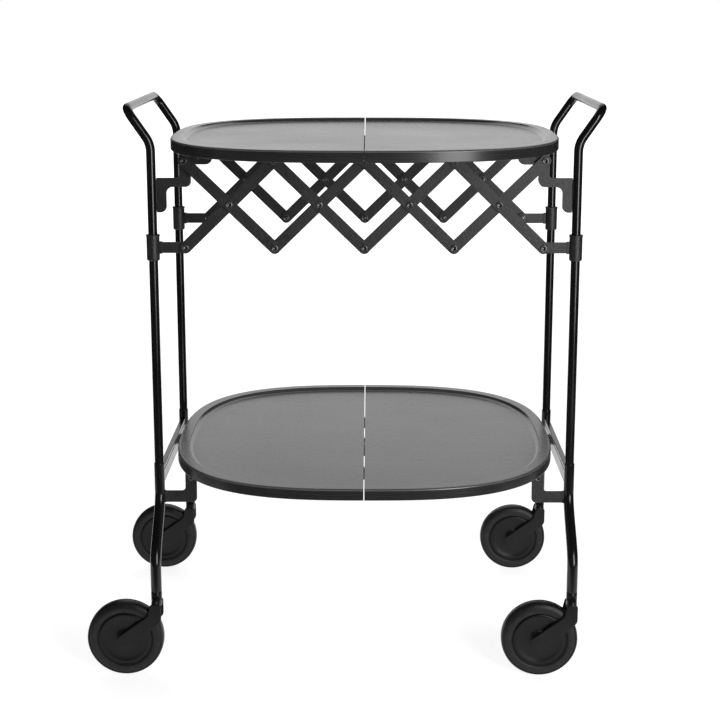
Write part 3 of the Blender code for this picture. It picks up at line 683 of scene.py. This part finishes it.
def upper_bracket(end, side):
    """S-shaped plate: a flange welded along the leg, an arm inward and a lug up to the tray pivot."""
    sx, sy = SIGN[side], SIGN[end]
    pivot = PIVOT_X[side]
    tube = -abs(LEG_X[side] - pivot) + TUBE_R + GAP
    corners = [
        (tube, -0.065, 0.0006),
        (tube + 0.0125, -0.065, 0.008),
        (tube + 0.0125, -0.033, 0.008),
        (0.0095, -0.033, 0.010),
        (0.0070, -0.010, 0.004),
        (0.0058, 0.0058, 0.0056),
        (-0.0058, 0.0058, 0.0056),
        (-0.0058, -0.0215, 0.004),
        (tube, -0.0215, 0.0006),
    ]
    outline = [(pivot - sx * u, UPPER_Z + v) for u, v in rounded(corners)]
    y_low, y_high = plate_span(sy, BRACKET_Y)
    bm = bmesh.new()
    add_plate(bm, outline, y_low, y_high, [circle((pivot, UPPER_Z), RIVET_R, RIVET_SIDES)])
    body = f"{side}_frame"
    node = f"upper_bracket_{end}_{side}"
    new_piece(f"s_bracket_{end}_{side}", bm, body, "fitting_powder_coat", [node])
    seam = bmesh.new()
    seam_x = pivot - sx * (tube - 0.0001)
    for y in (y_low, y_high):
        add_bead(seam, (seam_x, y, UPPER_Z - 0.063), (seam_x, y, UPPER_Z - 0.0235), 0.0008, 16)
    new_piece(f"s_bracket_weld_{end}_{side}", seam, body, "frame_enamel")
    bar = FALLING_Y if side == "left" else RISING_Y
    pin = rivet(pivot, UPPER_Z, sy, EAR_Y, bar + PLATE_T)
    new_piece(f"upper_pivot_{end}_{side}", pin, body, "pin_steel")


def lower_bracket(end, side):
    """L-shaped plate from the casting inward and up to the lower tray's pivot, on a ribbed weld block."""
    sx, sy = SIGN[side], SIGN[end]
    pivot = PIVOT_X[side]
    leg = -abs(LEG_X[side] - pivot) + CASTING_R + GAP
    corners = [
        (leg, -0.0340, 0.0006),
        (0.0072, -0.0340, 0.006),
        (0.0075, 0.0070, 0.0068),
        (-0.0075, 0.0070, 0.0068),
        (-0.0075, -0.0185, 0.005),
        (leg, -0.0185, 0.0006),
    ]
    outline = [(pivot - sx * u, LOWER_Z + v) for u, v in rounded(corners)]
    y_low, y_high = plate_span(sy, BRACKET_Y)
    bm = bmesh.new()
    add_plate(bm, outline, y_low, y_high, [circle((pivot, LOWER_Z), RIVET_R, RIVET_SIDES)])
    body = f"{side}_frame"
    node = f"lower_bracket_{end}_{side}"
    new_piece(f"l_bracket_{end}_{side}", bm, body, "fitting_powder_coat", [node])
    block = bmesh.new()
    root = pivot - sx * (leg - 0.0006)
    z = LOWER_Z - 0.02625
    ribs = ((0.0046, 0.0068), (0.0034, 0.0074), (0.0020, 0.0079))  # reach and half height
    for step, (reach, half) in enumerate(ribs):
        low_x, high_x = sorted((root, root - sx * reach))
        face = rectangle((low_x, z - half), (high_x, z + half), 0.0008, 4)
        proud = 0.0004 + 0.0005 * step
        add_plate(block, face, y_low - proud, y_high + proud, edge=0.0003, steps=2)
    new_piece(f"weld_block_{end}_{side}", block, body, "fitting_powder_coat")
    pin = rivet(pivot, LOWER_Z, sy, EAR_Y, BRACKET_Y + PLATE_T)
    new_piece(f"lower_pivot_{end}_{side}", pin, body, "pin_steel")


def sleeve(end, side):
    """Slider on a leg: a lipped bush with a chamfered foot, and a flat arm to the lattice."""
    sx, sy = SIGN[side], SIGN[end]
    leg, pivot = LEG_X[side], PIVOT_X[side]
    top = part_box(f"sleeve_{end}_{side}")[1].z
    low = top - SLEEVE_H
    bore = TUBE_R + GAP
    lip = SLEEVE_R + SLEEVE_LIP
    profile = [
        (bore, low + 0.0008),
        (bore + 0.0006, low),
        (SLEEVE_R - 0.0012, low),
        (SLEEVE_R - 0.0004, low + 0.0007),
        (SLEEVE_R, low + 0.0018),
        (SLEEVE_R, top - SLEEVE_LIP_H - 0.0002),
        (lip - 0.0001, top - SLEEVE_LIP_H),
        (lip, top - SLEEVE_LIP_H + 0.0003),
        (lip, top - 0.0007),
        (lip - 0.0003, top - 0.0002),
        (lip - 0.0009, top),
        (bore + 0.0006, top),
        (bore, top - 0.0006),
    ]
    bm = bmesh.new()
    add_turned(bm, profile, (leg, sy * LEG_Y, 0), "Z", 48)
    body = f"sleeves_{side}"
    node = f"sleeve_{end}_{side}"
    new_piece(f"slider_{end}_{side}", bm, body, "fitting_powder_coat", [node], sharp=40)
    half = SLEEVE_ARM_HALF
    reach = abs(leg - pivot) - (bore + SLEEVE_R) / 2
    outline = [(-reach, -half), *arc((0, 0), half, -90, 90, 24), (-reach, half)]
    arm = bmesh.new()
    placed = [(pivot - sx * u, LATTICE_LOW_Z + v) for u, v in outline]
    y_low, y_high = plate_span(sy, BRACKET_Y)
    add_plate(arm, placed, y_low, y_high, [circle((pivot, LATTICE_LOW_Z), RIVET_R, RIVET_SIDES)])
    root = abs(leg - pivot) - SLEEVE_R - 0.0036
    tall = half + 0.0008
    shoulder = [
        (-reach, -tall, 0.0004),
        (-root, -tall, 0.001),
        (-root, tall, 0.001),
        (-reach, tall, 0.0004),
    ]
    collar = [(pivot - sx * u, LATTICE_LOW_Z + v) for u, v in rounded(shoulder, 5)]
    add_plate(arm, collar, y_low - SLEEVE_STEP, y_high + SLEEVE_STEP)
    new_piece(f"slider_arm_{end}_{side}", arm, body, "fitting_powder_coat")
    bar = RISING_Y if side == "left" else FALLING_Y
    pin = rivet(pivot, LATTICE_LOW_Z, sy, BRACKET_Y, bar + PLATE_T)
    new_piece(f"slider_pivot_{end}_{side}", pin, body, "pin_steel")


# ---- lattice ------------------------------------------------------------------------------------
# which of a bar's pins (left end 0, crossing 1, right end 2) are rivets fixed in that bar, by cell
OWN_RIVETS = {"falling": ((1,), (0,), (1, 2), ()), "rising": ((), (0, 1), (2,), (1,))}
# a pin at the centre plane is cut between its two bars, so that the lattice can part there
HALF_RIVETS = {"falling": ((), (2,), (0,), ()), "rising": ((), (2,), (0,), ())}


def bar_rivet(slope, pin, sy, half):
    """The hollow rivet fixed in a bar, through both bars or only through its own."""
    if not half:
        return rivet(*pin, sy, RISING_Y, FALLING_Y + PLATE_T)
    if slope == "falling":
        return rivet(*pin, sy, FALLING_Y, FALLING_Y + PLATE_T, inner_head=False)
    return rivet(*pin, sy, RISING_Y, RISING_Y + PLATE_T, outer_head=False)


def lattice():
    """Each cell has a bar that falls and a bar that rises towards +X; a bar carries its own rivets."""
    middle_z = (UPPER_Z + LATTICE_LOW_Z) / 2
    slopes = {
        "falling": ((UPPER_Z, middle_z, LATTICE_LOW_Z), FALLING_Y),
        "rising": ((LATTICE_LOW_Z, middle_z, UPPER_Z), RISING_Y),
    }
    for cell in range(CELLS):
        stations = [PIVOT_X["left"] + CELL_W * (cell + share) for share in (0, 0.5, 1)]
        for slope, (heights, layer) in slopes.items():
            pins = list(zip(stations, heights))
            outline = capsule(pins[0], pins[2], BAR_R, BAR_R)
            halves = HALF_RIVETS[slope][cell]
            fixed = OWN_RIVETS[slope][cell] + halves
            holes = []
            for k, pin in enumerate(pins):
                holes.append(circle(pin, RIVET_R, RIVET_SIDES) if k in fixed else loose_hole(*pin))
            body = f"{slope}_bar_{cell + 1}"
            for end in ENDS:
                sy = SIGN[end]
                bm = bmesh.new()
                add_plate(bm, outline, *plate_span(sy, layer), holes)
                name = f"{end}_{cell + 1}"
                node = f"{slope}_bar_{name}"
                new_piece(f"{slope}_strut_{name}", bm, body, "fitting_powder_coat", [node])
                for k in fixed:
                    pin = bar_rivet(slope, pins[k], sy, k in halves)
                    new_piece(f"{slope}_rivet_{name}_{k + 1}", pin, body, "pin_steel")


# ---- trays --------------------------------------------------------------------------------------
def tray_ring(sx, half_size, z, split):
    """Points of half the super-ellipse of a given half size, from rear to front on one side."""
    power = 2 / TRAY_ROUNDNESS
    ring = []
    for k in range(TRAY_STEPS + 1):
        angle = math.pi / 2 - math.pi * k / TRAY_STEPS
        out = half_size * abs(math.cos(angle)) ** power
        along = half_size * math.copysign(abs(math.sin(angle)) ** power, math.sin(angle))
        ring.append(Vector((CENTRE_X + sx * max(out, split), along, z)))
    return ring


def tray_sections(low):
    """(half size, height) from the underside's recess, round the edge and rim, down to the floor."""
    top = low + TRAY_EDGE_T
    floor = top - TRAY_DISH
    rim = TRAY_HALF - TRAY_RIM_W
    under = ((0.030, 0.0018), (0.0285, 0.0006), (0.027, 0))
    sections = [(TRAY_HALF - inward, low + up) for inward, up in under]
    centre = (TRAY_HALF - TRAY_EDGE_R, low + TRAY_EDGE_R)
    sections += arc(centre, TRAY_EDGE_R, -90, 0, TRAY_EDGE_STEPS)
    centre = (TRAY_HALF - TRAY_LIP_R, top - TRAY_LIP_R)
    sections += arc(centre, TRAY_LIP_R, 0, 90, TRAY_EDGE_STEPS)
    sections += [(TRAY_HALF - 0.0040, top), (rim + 0.0008, top)]
    for k in range(TRAY_COVE_STEPS + 1):
        share = k / TRAY_COVE_STEPS
        fall = 1 - (1 - share) ** TRAY_COVE_POWER
        sections.append((rim - TRAY_COVE_W * share, top - TRAY_DISH * fall))
    sections.append((rim - TRAY_COVE_W - 0.003, floor))
    return sections


def tray_half(level, pivot_z, side):
    """Half of a dished tray with a flat rim, a hollow slope inside it with a painted sheen, and edge faces
    painted darker as shade.
    """
    sx = SIGN[side]
    low = pivot_z + TRAY_PIVOT_DROP
    sections = tray_sections(low)
    bm = bmesh.new()
    rings = []
    for half_size, z in sections:
        rings.append([bm.verts.new(point) for point in tray_ring(sx, half_size, z, SPLIT / 2)])
    for row, (outer, inner) in enumerate(zip(rings, rings[1:])):
        for k in range(TRAY_STEPS):
            face = bm.faces.new((outer[k], outer[k + 1], inner[k + 1], inner[k]))
            # material 1 paints shade on the edge faces, and material 2 paints a sheen on the slope
            face.material_index = 1 if row in SHADED_EDGE_ROWS else 2 if row in SHEEN_COVE_ROWS else 0
    bm.faces.new(rings[0])
    bm.faces.new(rings[-1])
    rear = [ring[0] for ring in rings]
    front = [ring[-1] for ring in rings]
    # the cut face at the split also gets the painted shade
    bm.faces.new(rear + front[::-1]).material_index = 1
    bmesh.ops.recalc_face_normals(bm, faces=bm.faces)
    name = f"{level}_tray_top_{side}"
    node = f"{level}_tray_half_{side}"
    made = new_piece(name, bm, f"{level}_tray_{side}", "tray_laminate", [node], sharp=30)
    # the edge faces' material is painted shade, and the slope's material is a painted sheen
    made.data.materials.append(SHADED_EDGE_LAMINATE)
    made.data.materials.append(COVE_PAINTED_SHEEN)


# ---- tray fittings ------------------------------------------------------------------------------
LEAF_T = 0.0020
LEAF_W = 0.0240
LEAF_INSET = 0.0030
EAR_LENGTH = 0.0245
EAR_FOOT = 0.0130
EAR_LUG = 0.0055
KNUCKLE_R = 0.0044
HINGE_PIN_R = 0.0022
KNUCKLE_STATIONS = 0.118
# centre hinges: place, station along Y, length of the right half's knuckle and of the left half's two
HINGES = (
    ("front", -KNUCKLE_STATIONS, 0.0050, 0.0050),
    ("middle", 0, 0.0300, 0.0090),
    ("rear", KNUCKLE_STATIONS, 0.0050, 0.0050),
)


def add_screw(bm, x, y, under):
    """A pan-head screw under a tray, with a dimple for its recess."""
    profile = [
        (0, under - 0.0004),
        (0.0006, under - 0.0004),
        (0.0011, under - 0.0010),
        (0.0018, under - 0.0009),
        (0.0022, under - 0.0004),
        (0.0022, under + 0.0003),
        (0, under + 0.0003),
    ]
    add_turned(bm, profile, (x, y, 0), "Z", 24)


def add_slab(bm, low, high, edge=0.0004):
    """A flat slab parallel to the floor with rounded vertical corners and rounded edges."""
    made = bmesh.new()
    add_plate(made, rectangle(low, high, 0.002, 5), low[2], high[2], edge=edge, steps=2)
    # the plate stands in XZ, so turn its Y into height
    for vert in made.verts:
        vert.co = Vector((vert.co.x, vert.co.z, vert.co.y))
    bmesh.ops.reverse_faces(made, faces=made.faces)
    copy_into(bm, made)
    made.free()


def copy_into(bm, other):
    """Add another bmesh's faces to this one."""
    matching = {vert: bm.verts.new(vert.co) for vert in other.verts}
    for face in other.faces:
        bm.faces.new([matching[vert] for vert in face.verts])


def tray_ears(level, pivot_z, side):
    """Folded lugs under the outer end of a tray half, each on its pivot and screwed up into the tray."""
    sx = SIGN[side]
    pivot = PIVOT_X[side]
    under = pivot_z + TRAY_PIVOT_DROP
    outline = [
        *arc((0, 0), EAR_LUG, 180, 270, 10),
        (EAR_LENGTH * 0.45, -EAR_LUG),
        (EAR_LENGTH, TRAY_PIVOT_DROP - LEAF_T),
        (EAR_LENGTH, TRAY_PIVOT_DROP),
        (-EAR_LUG, TRAY_PIVOT_DROP),
    ]
    bm = bmesh.new()
    foot_x = sorted((pivot - sx * EAR_LENGTH, pivot + sx * EAR_LUG))
    for end in ENDS:
        sy = SIGN[end]
        placed = [(pivot - sx * u, pivot_z + v) for u, v in outline]
        add_plate(bm, placed, *plate_span(sy, EAR_Y), [loose_hole(pivot, pivot_z)])
        foot_y = sorted((sy * (EAR_Y + PLATE_T), sy * (EAR_Y - EAR_FOOT)))
        add_slab(bm, (foot_x[0], foot_y[0], under - LEAF_T), (foot_x[1], foot_y[1], under))
        for share in (0.22, 0.78):
            x = foot_x[0] + (foot_x[1] - foot_x[0]) * share
            add_screw(bm, x, sy * (EAR_Y - 0.0065), under - LEAF_T)
    new_piece(f"{level}_tray_ears_{side}", bm, f"{level}_tray_{side}", "fitting_powder_coat")


def knuckle_spans(side, hinge):
    """Y ranges of this side's knuckles on a hinge: the right half has the inner one."""
    _, station, inner, outer = hinge
    half = inner / 2
    if side == "right":
        return [(station - half, station + half)]
    near = half + GAP
    return [(station - near - outer, station - near), (station + near, station + near + outer)]


def centre_leaves(level, pivot_z, side):
    """Hinge leaves under the split, with their barrels round the pins."""
    sx = SIGN[side]
    drop = TRAY_PIVOT_DROP
    under = pivot_z + drop
    leaf_x = sorted((CENTRE_X + sx * LEAF_INSET, CENTRE_X + sx * (LEAF_INSET + LEAF_W)))
    lug = [*arc((0, 0), KNUCKLE_R, 80, -180, 24), (-KNUCKLE_R, drop), (-SPLIT / 2, drop)]
    outline = [(CENTRE_X - sx * u, pivot_z + v) for u, v in lug]
    bore = circle((CENTRE_X, pivot_z), HINGE_PIN_R + GAP, 24)
    bm = bmesh.new()
    for hinge in HINGES:
        _, station, inner, outer = hinge
        reach = inner / 2 + GAP + outer
        add_slab(bm, (leaf_x[0], station - reach, under - LEAF_T), (leaf_x[1], station + reach, under))
        for share in (0.45, 0.8):
            x = leaf_x[0] + LEAF_W * (share if sx > 0 else 1 - share)
            for way in (-1, 1):
                add_screw(bm, x, station + way * reach * 0.5, under - LEAF_T)
        for y_low, y_high in knuckle_spans(side, hinge):
            add_plate(bm, outline, y_low, y_high, [bore], edge=0.0003, steps=2)
    new_piece(f"{level}_hinge_leaves_{side}", bm, f"{level}_tray_{side}", "fitting_powder_coat")


def hinge_pins(level, pivot_z):
    """The pins of the centre hinges, with domed ends, a little longer than their barrels."""
    for place, station, inner, outer in HINGES:
        reach = inner / 2 + outer + 2 * GAP
        dome = 0.0006
        rod = [
            (0, -reach),
            (HINGE_PIN_R - dome, -reach + 0.0001),
            (HINGE_PIN_R, -reach + dome),
            (HINGE_PIN_R, reach - dome),
            (HINGE_PIN_R - dome, reach - 0.0001),
            (0, reach),
        ]
        bm = bmesh.new()
        add_turned(bm, rod, (CENTRE_X, station, pivot_z), "Y", 24)
        node = f"{level}_hinge_pin_{place}"
        new_piece(f"{level}_pin_{place}", bm, f"{level}_tray_left", "pin_steel", [node], sharp=35)


# ---- casters ------------------------------------------------------------------------------------
def fork_mesh(trail, neck_top):
    """A moulded fork about its axle: crown, cheeks and axle melted together, and a turned neck."""
    neck_r = CASTING_FOOT_R
    outer = FORK_HALF + FORK_T
    bm = bmesh.new()
    crown = [
        (0, FORK_CROWN),
        (neck_r * 0.98, FORK_CROWN),
        (neck_r, FORK_CROWN + 0.002),
        (neck_r, FORK_CROWN + 0.0045),
        (neck_r * 0.90, FORK_CROWN + 0.0085),
        (neck_r * 0.60, FORK_CROWN + 0.0125),
        (0, FORK_CROWN + 0.0150),
    ]
    add_turned(bm, crown, (trail, 0, 0), "Z", 48, scale=(1.0, outer / neck_r))
    cheek = [
        (trail + neck_r, FORK_CROWN + 0.0052, 0.004),
        (trail + neck_r, 0.0245, 0.0095),
        (0.0050, -0.0115, 0.0095),
        (-0.0135, -0.0060, 0.0085),
        (-0.0115, 0.0025, 0.0012),
        (trail - neck_r - 0.0035, 0.0330, 0.014),
        (trail - neck_r, FORK_CROWN + 0.0052, 0.004),
    ]
    for way in (-1, 1):
        add_plate(bm, rounded(cheek, 12), *sorted((way * FORK_HALF, way * outer)), edge=0.0007, steps=3)
    tip = outer - 0.001
    rod = [(0, -tip), (AXLE_R, -tip), (AXLE_R, tip), (0, tip)]
    add_turned(bm, rod, (0, 0, 0), "Y", 32)
    rough = mesh_from("fork_rough", bm)
    clay = put("fork_clay", rough)
    melt = clay.modifiers.new("melt", "REMESH")
    melt.mode = "VOXEL"
    melt.voxel_size = FORK_VOXEL
    fillet = clay.modifiers.new("fillet", "SMOOTH")
    fillet.factor = 0.5
    fillet.iterations = 5
    graph = bpy.context.evaluated_depsgraph_get()
    made = bpy.data.meshes.new_from_object(clay.evaluated_get(graph))
    bpy.data.objects.remove(clay)
    bpy.data.meshes.remove(rough)
    neck = bmesh.new()
    neck.from_mesh(made)
    collar = [
        (0, FORK_CROWN + 0.0030),
        (neck_r - 0.0006, FORK_CROWN + 0.0030),
        (neck_r, FORK_CROWN + 0.0060),
        (neck_r, neck_top - 0.0008),
        (neck_r - 0.0003, neck_top - 0.0002),
        (neck_r - 0.0008, neck_top),
        (0, neck_top),
    ]
    add_turned(neck, collar, (trail, 0, 0), "Z", 48)
    neck.to_mesh(made)
    neck.free()
    made.name = "caster_fork"
    made.shade_smooth()
    made.set_sharp_from_angle(angle=math.radians(48))
    made.materials.clear()
    made.materials.append(FINISHES["caster_nylon"])
    return made


def stem_mesh(neck_top):
    """The swivel's washer, a dark line between the fork's neck and the casting."""
    profile = [
        (0, neck_top - 0.0040),
        (0.0052, neck_top - 0.0040),
        (0.0052, neck_top - 0.0006),
        (0.0060, neck_top - 0.0004),
        (0.0060, neck_top + 0.0005),
        (0.0050, neck_top + 0.0008),
        (0, neck_top + 0.0008),
    ]
    return turned_mesh("swivel_stem", profile, "pin_steel", "Z")


def hub_mesh():
    """Wheel centre: a shallow dish between a flanged rim and a boss, the same on both faces."""
    half = WHEEL_W / 2
    bore = AXLE_R + GAP
    face = [
        (bore, half - 0.0004),
        (bore + 0.0005, half),
        (0.0092, half),
        (0.0100, half - 0.0003),
        (0.0106, half - 0.0012),
        (0.0120, half - 0.0020),
        (0.0150, half - 0.0023),
        (0.0240, half - 0.0021),
        (0.0292, half - 0.0012),
        (0.0304, half - 0.0008),
        (0.0330, half - 0.0008),
        (HUB_R - 0.0006, half - 0.0010),
        (HUB_R - 0.0001, half - 0.0016),
        (HUB_R - 0.0001, half - 0.0045),
        (HUB_R + 0.0012, half - 0.0055),  # bead under the tyre
    ]
    profile = face + [(radius, -height) for radius, height in reversed(face)]
    return turned_mesh("wheel_hub", profile, "caster_nylon")


def tyre_mesh():
    """Tyre with a lightly crowned tread, soft shoulders and a shallow groove beside the hub."""
    half = WHEEL_W / 2
    side = [
        (HUB_R + GAP, half - 0.0045),
        (HUB_R + GAP, half - 0.0022),
        (HUB_R + 0.0006, half - 0.0018),
        (HUB_R + 0.0014, half - 0.0018),
        (HUB_R + 0.0019, half - 0.0012),
        (HUB_R + 0.0022, half - 0.0004),
        (HUB_R + 0.0028, half - 0.0001),
        (0.0405, half),
        (0.0446, half - 0.0001),
    ]
    shoulder = 0.0034
    side += [
        (WHEEL_R - 0.0004 - shoulder + u, half - 0.0002 - shoulder + v)
        for v, u in (arc((0, 0), shoulder, 90 - 12 * k, 90 - 12 * k, 1)[0] for k in range(1, 7))
    ]
    side.append((WHEEL_R - 0.0001, half - 0.0062))
    profile = side + [(WHEEL_R, 0.0)] + [(radius, -height) for radius, height in reversed(side)]
    return turned_mesh("wheel_tyre", profile, "tyre_rubber")


def turned_mesh(name, profile, slot, axis="Y"):
    """A solid turned about an axis through its own origin."""
    bm = bmesh.new()
    add_turned(bm, profile, (0, 0, 0), axis, WHEEL_SIDES)
    mesh = mesh_from(name, bm)
    mesh.shade_smooth()
    mesh.set_sharp_from_angle(angle=math.radians(38))
    mesh.materials.append(FINISHES[slot])
    return mesh


def casters():
    """Four casters that share their three meshes."""
    sample = ("front", "left")
    trail = STEM[sample].x - AXLE[sample].x
    neck_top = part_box("caster_fork_front_left")[1].z - AXLE[sample].z
    parts = (
        ("fork", fork_mesh(trail, neck_top), "caster", "caster_fork", "caster_nylon"),
        ("hub", hub_mesh(), "wheel", "wheel_hub", "caster_nylon"),
        ("tyre", tyre_mesh(), "wheel", "tyre", "tyre_rubber"),
    )
    stem = stem_mesh(neck_top)
    for end in ENDS:
        for side in SIDES:
            for label, mesh, body, node, slot in parts:
                name = f"{end}_{side}"
                made = put(f"{label}_{name}", mesh, AXLE[end, side])
                ride_as(made, f"{body}_{name}", [f"{node}_{name}"])
            washer = put(f"stem_{end}_{side}", stem, AXLE[end, side] + Vector((trail, 0, 0)))
            ride_as(washer, f"caster_{end}_{side}")


# ---- the studio ---------------------------------------------------------------------------------
FLOOR_R = 14.0  # wide enough that its edge is never seen
FLAG_GAP = 0.002  # height of the low flags above the floor


def studio_sheet(name, bm, grey, glow):
    """A matt piece of the studio: a share of white that it reflects and one that it gives off."""
    paint = bpy.data.materials.new(name)
    paint.use_nodes = True
    sockets = paint.node_tree.nodes["Principled BSDF"].inputs
    sockets["Base Color"].default_value = (grey, grey, grey, 1)
    sockets["Roughness"].default_value = 0.9
    sockets["Specular IOR Level"].default_value = 0.0
    sockets["Emission Color"].default_value = (1, 1, 1, 1)
    sockets["Emission Strength"].default_value = glow
    mesh = mesh_from(name, bm)
    mesh.materials.append(paint)
    sheet = put(name, mesh)
    return sheet


def white_floor():
    """A large pale floor."""
    bm = bmesh.new()
    bmesh.ops.create_circle(bm, cap_ends=True, segments=96, radius=FLOOR_R)
    studio_sheet("studio_floor", bm, 0.55, 0.82)


def soft_light(name, at, aim, size, power):
    """A rectangular soft box that faces a point."""
    data = bpy.data.lights.new(name, "AREA")
    data.shape = "RECTANGLE"
    data.size, data.size_y = size
    data.energy = power
    lamp = put(name, data, at)
    lamp.rotation_euler = (Vector(aim) - Vector(at)).to_track_quat("-Z", "Y").to_euler()
    lamp.visible_camera = False


def upright(start, end, low, high):
    """Corners of a standing sheet over the line between two places on the floor."""
    return [(*start, low), (*end, low), (*end, high), (*start, high)]


def level_sheet(side, near, far, height):
    """Corners of a sheet parallel to the floor."""
    return [(-side, near, height), (side, near, height), (side, far, height), (-side, far, height)]


def dark_flag(name, corners, gloss_only=False):
    """A dark panel that only reflections and, unless gloss_only, the light on the floor can see."""
    bm = bmesh.new()
    bm.faces.new([bm.verts.new(corner) for corner in corners])
    flag = studio_sheet(name, bm, 0.02, 0.0)
    flag.visible_camera = False
    if gloss_only:
        flag.visible_diffuse = False
        flag.visible_shadow = False


def studio():
    """A white room with dark flags in front, above and beside, a strip light and a soft box."""
    world = bpy.data.worlds.new("studio")
    world.use_nodes = True
    background = world.node_tree.nodes["Background"]
    background.inputs["Color"].default_value = (1, 1, 1, 1)
    background.inputs["Strength"].default_value = 1.0
    bpy.context.scene.world = world
    bpy.context.scene.view_settings.view_transform = "Standard"
    white_floor()
    middle = (CENTRE_X, 0, 0.4)
    soft_light("left_strip", (-2.0, -1.0, 0.8), middle, (0.30, 1.6), 2)
    soft_light("right_box", (1.15, -2.0, 0.8), middle, (0.80, 1.6), 40)
    side, near, roof = 2.9, -3.4, 3.0
    dark_flag("front_flag", upright((-side, near), (side, near), 0, roof))
    dark_flag("ceiling_flag", level_sheet(side, near, 1.4, roof))
    for way in (-1, 1):
        dark_flag(f"side_flag_{way}", upright((way * side, near), (way * side, 0.9), 0, roof))
        wing = upright((way * 0.9, -0.8), (way * 0.9, 2.4), FLAG_GAP, 1.6)
        dark_flag(f"edge_flag_{way}", wing, gloss_only=True)
    dark_flag("apron_flag", level_sheet(side, near, -0.42, FLAG_GAP), gloss_only=True)


CAMERA_DISTANCE = 1.9757  # in front of the middle of the trolley
CAMERA_HEIGHT = 0.8534
CAMERA_SIDE = 0.0060  # to the right of the centre plane
CAMERA_PITCH = 0.1996
CAMERA_YAW = 0.00617
CAMERA_LENS = 74.44
CAMERA_SHIFT = -0.0833


def camera():
    data = bpy.data.cameras.new("photo_camera")
    data.sensor_width = 36
    data.lens = CAMERA_LENS
    data.shift_y = CAMERA_SHIFT
    at = (CENTRE_X + CAMERA_SIDE, -CAMERA_DISTANCE, CAMERA_HEIGHT)
    made = put("photo_camera", data, at)
    made.rotation_euler = (math.pi / 2 - CAMERA_PITCH, 0, CAMERA_YAW)
    bpy.context.scene.camera = made


# ---- assembly -----------------------------------------------------------------------------------
for side_name in SIDES:
    u_tube(side_name)
    crossbar(side_name)
    for end_name in ENDS:
        casting(end_name, side_name)
        upper_bracket(end_name, side_name)
        lower_bracket(end_name, side_name)
        sleeve(end_name, side_name)
lattice()
for level_name, level_z in (("upper", UPPER_Z), ("lower", LOWER_Z)):
    hinge_pins(level_name, level_z)
    for side_name in SIDES:
        tray_half(level_name, level_z, side_name)
        tray_ears(level_name, level_z, side_name)
        centre_leaves(level_name, level_z, side_name)
casters()
studio()
camera()
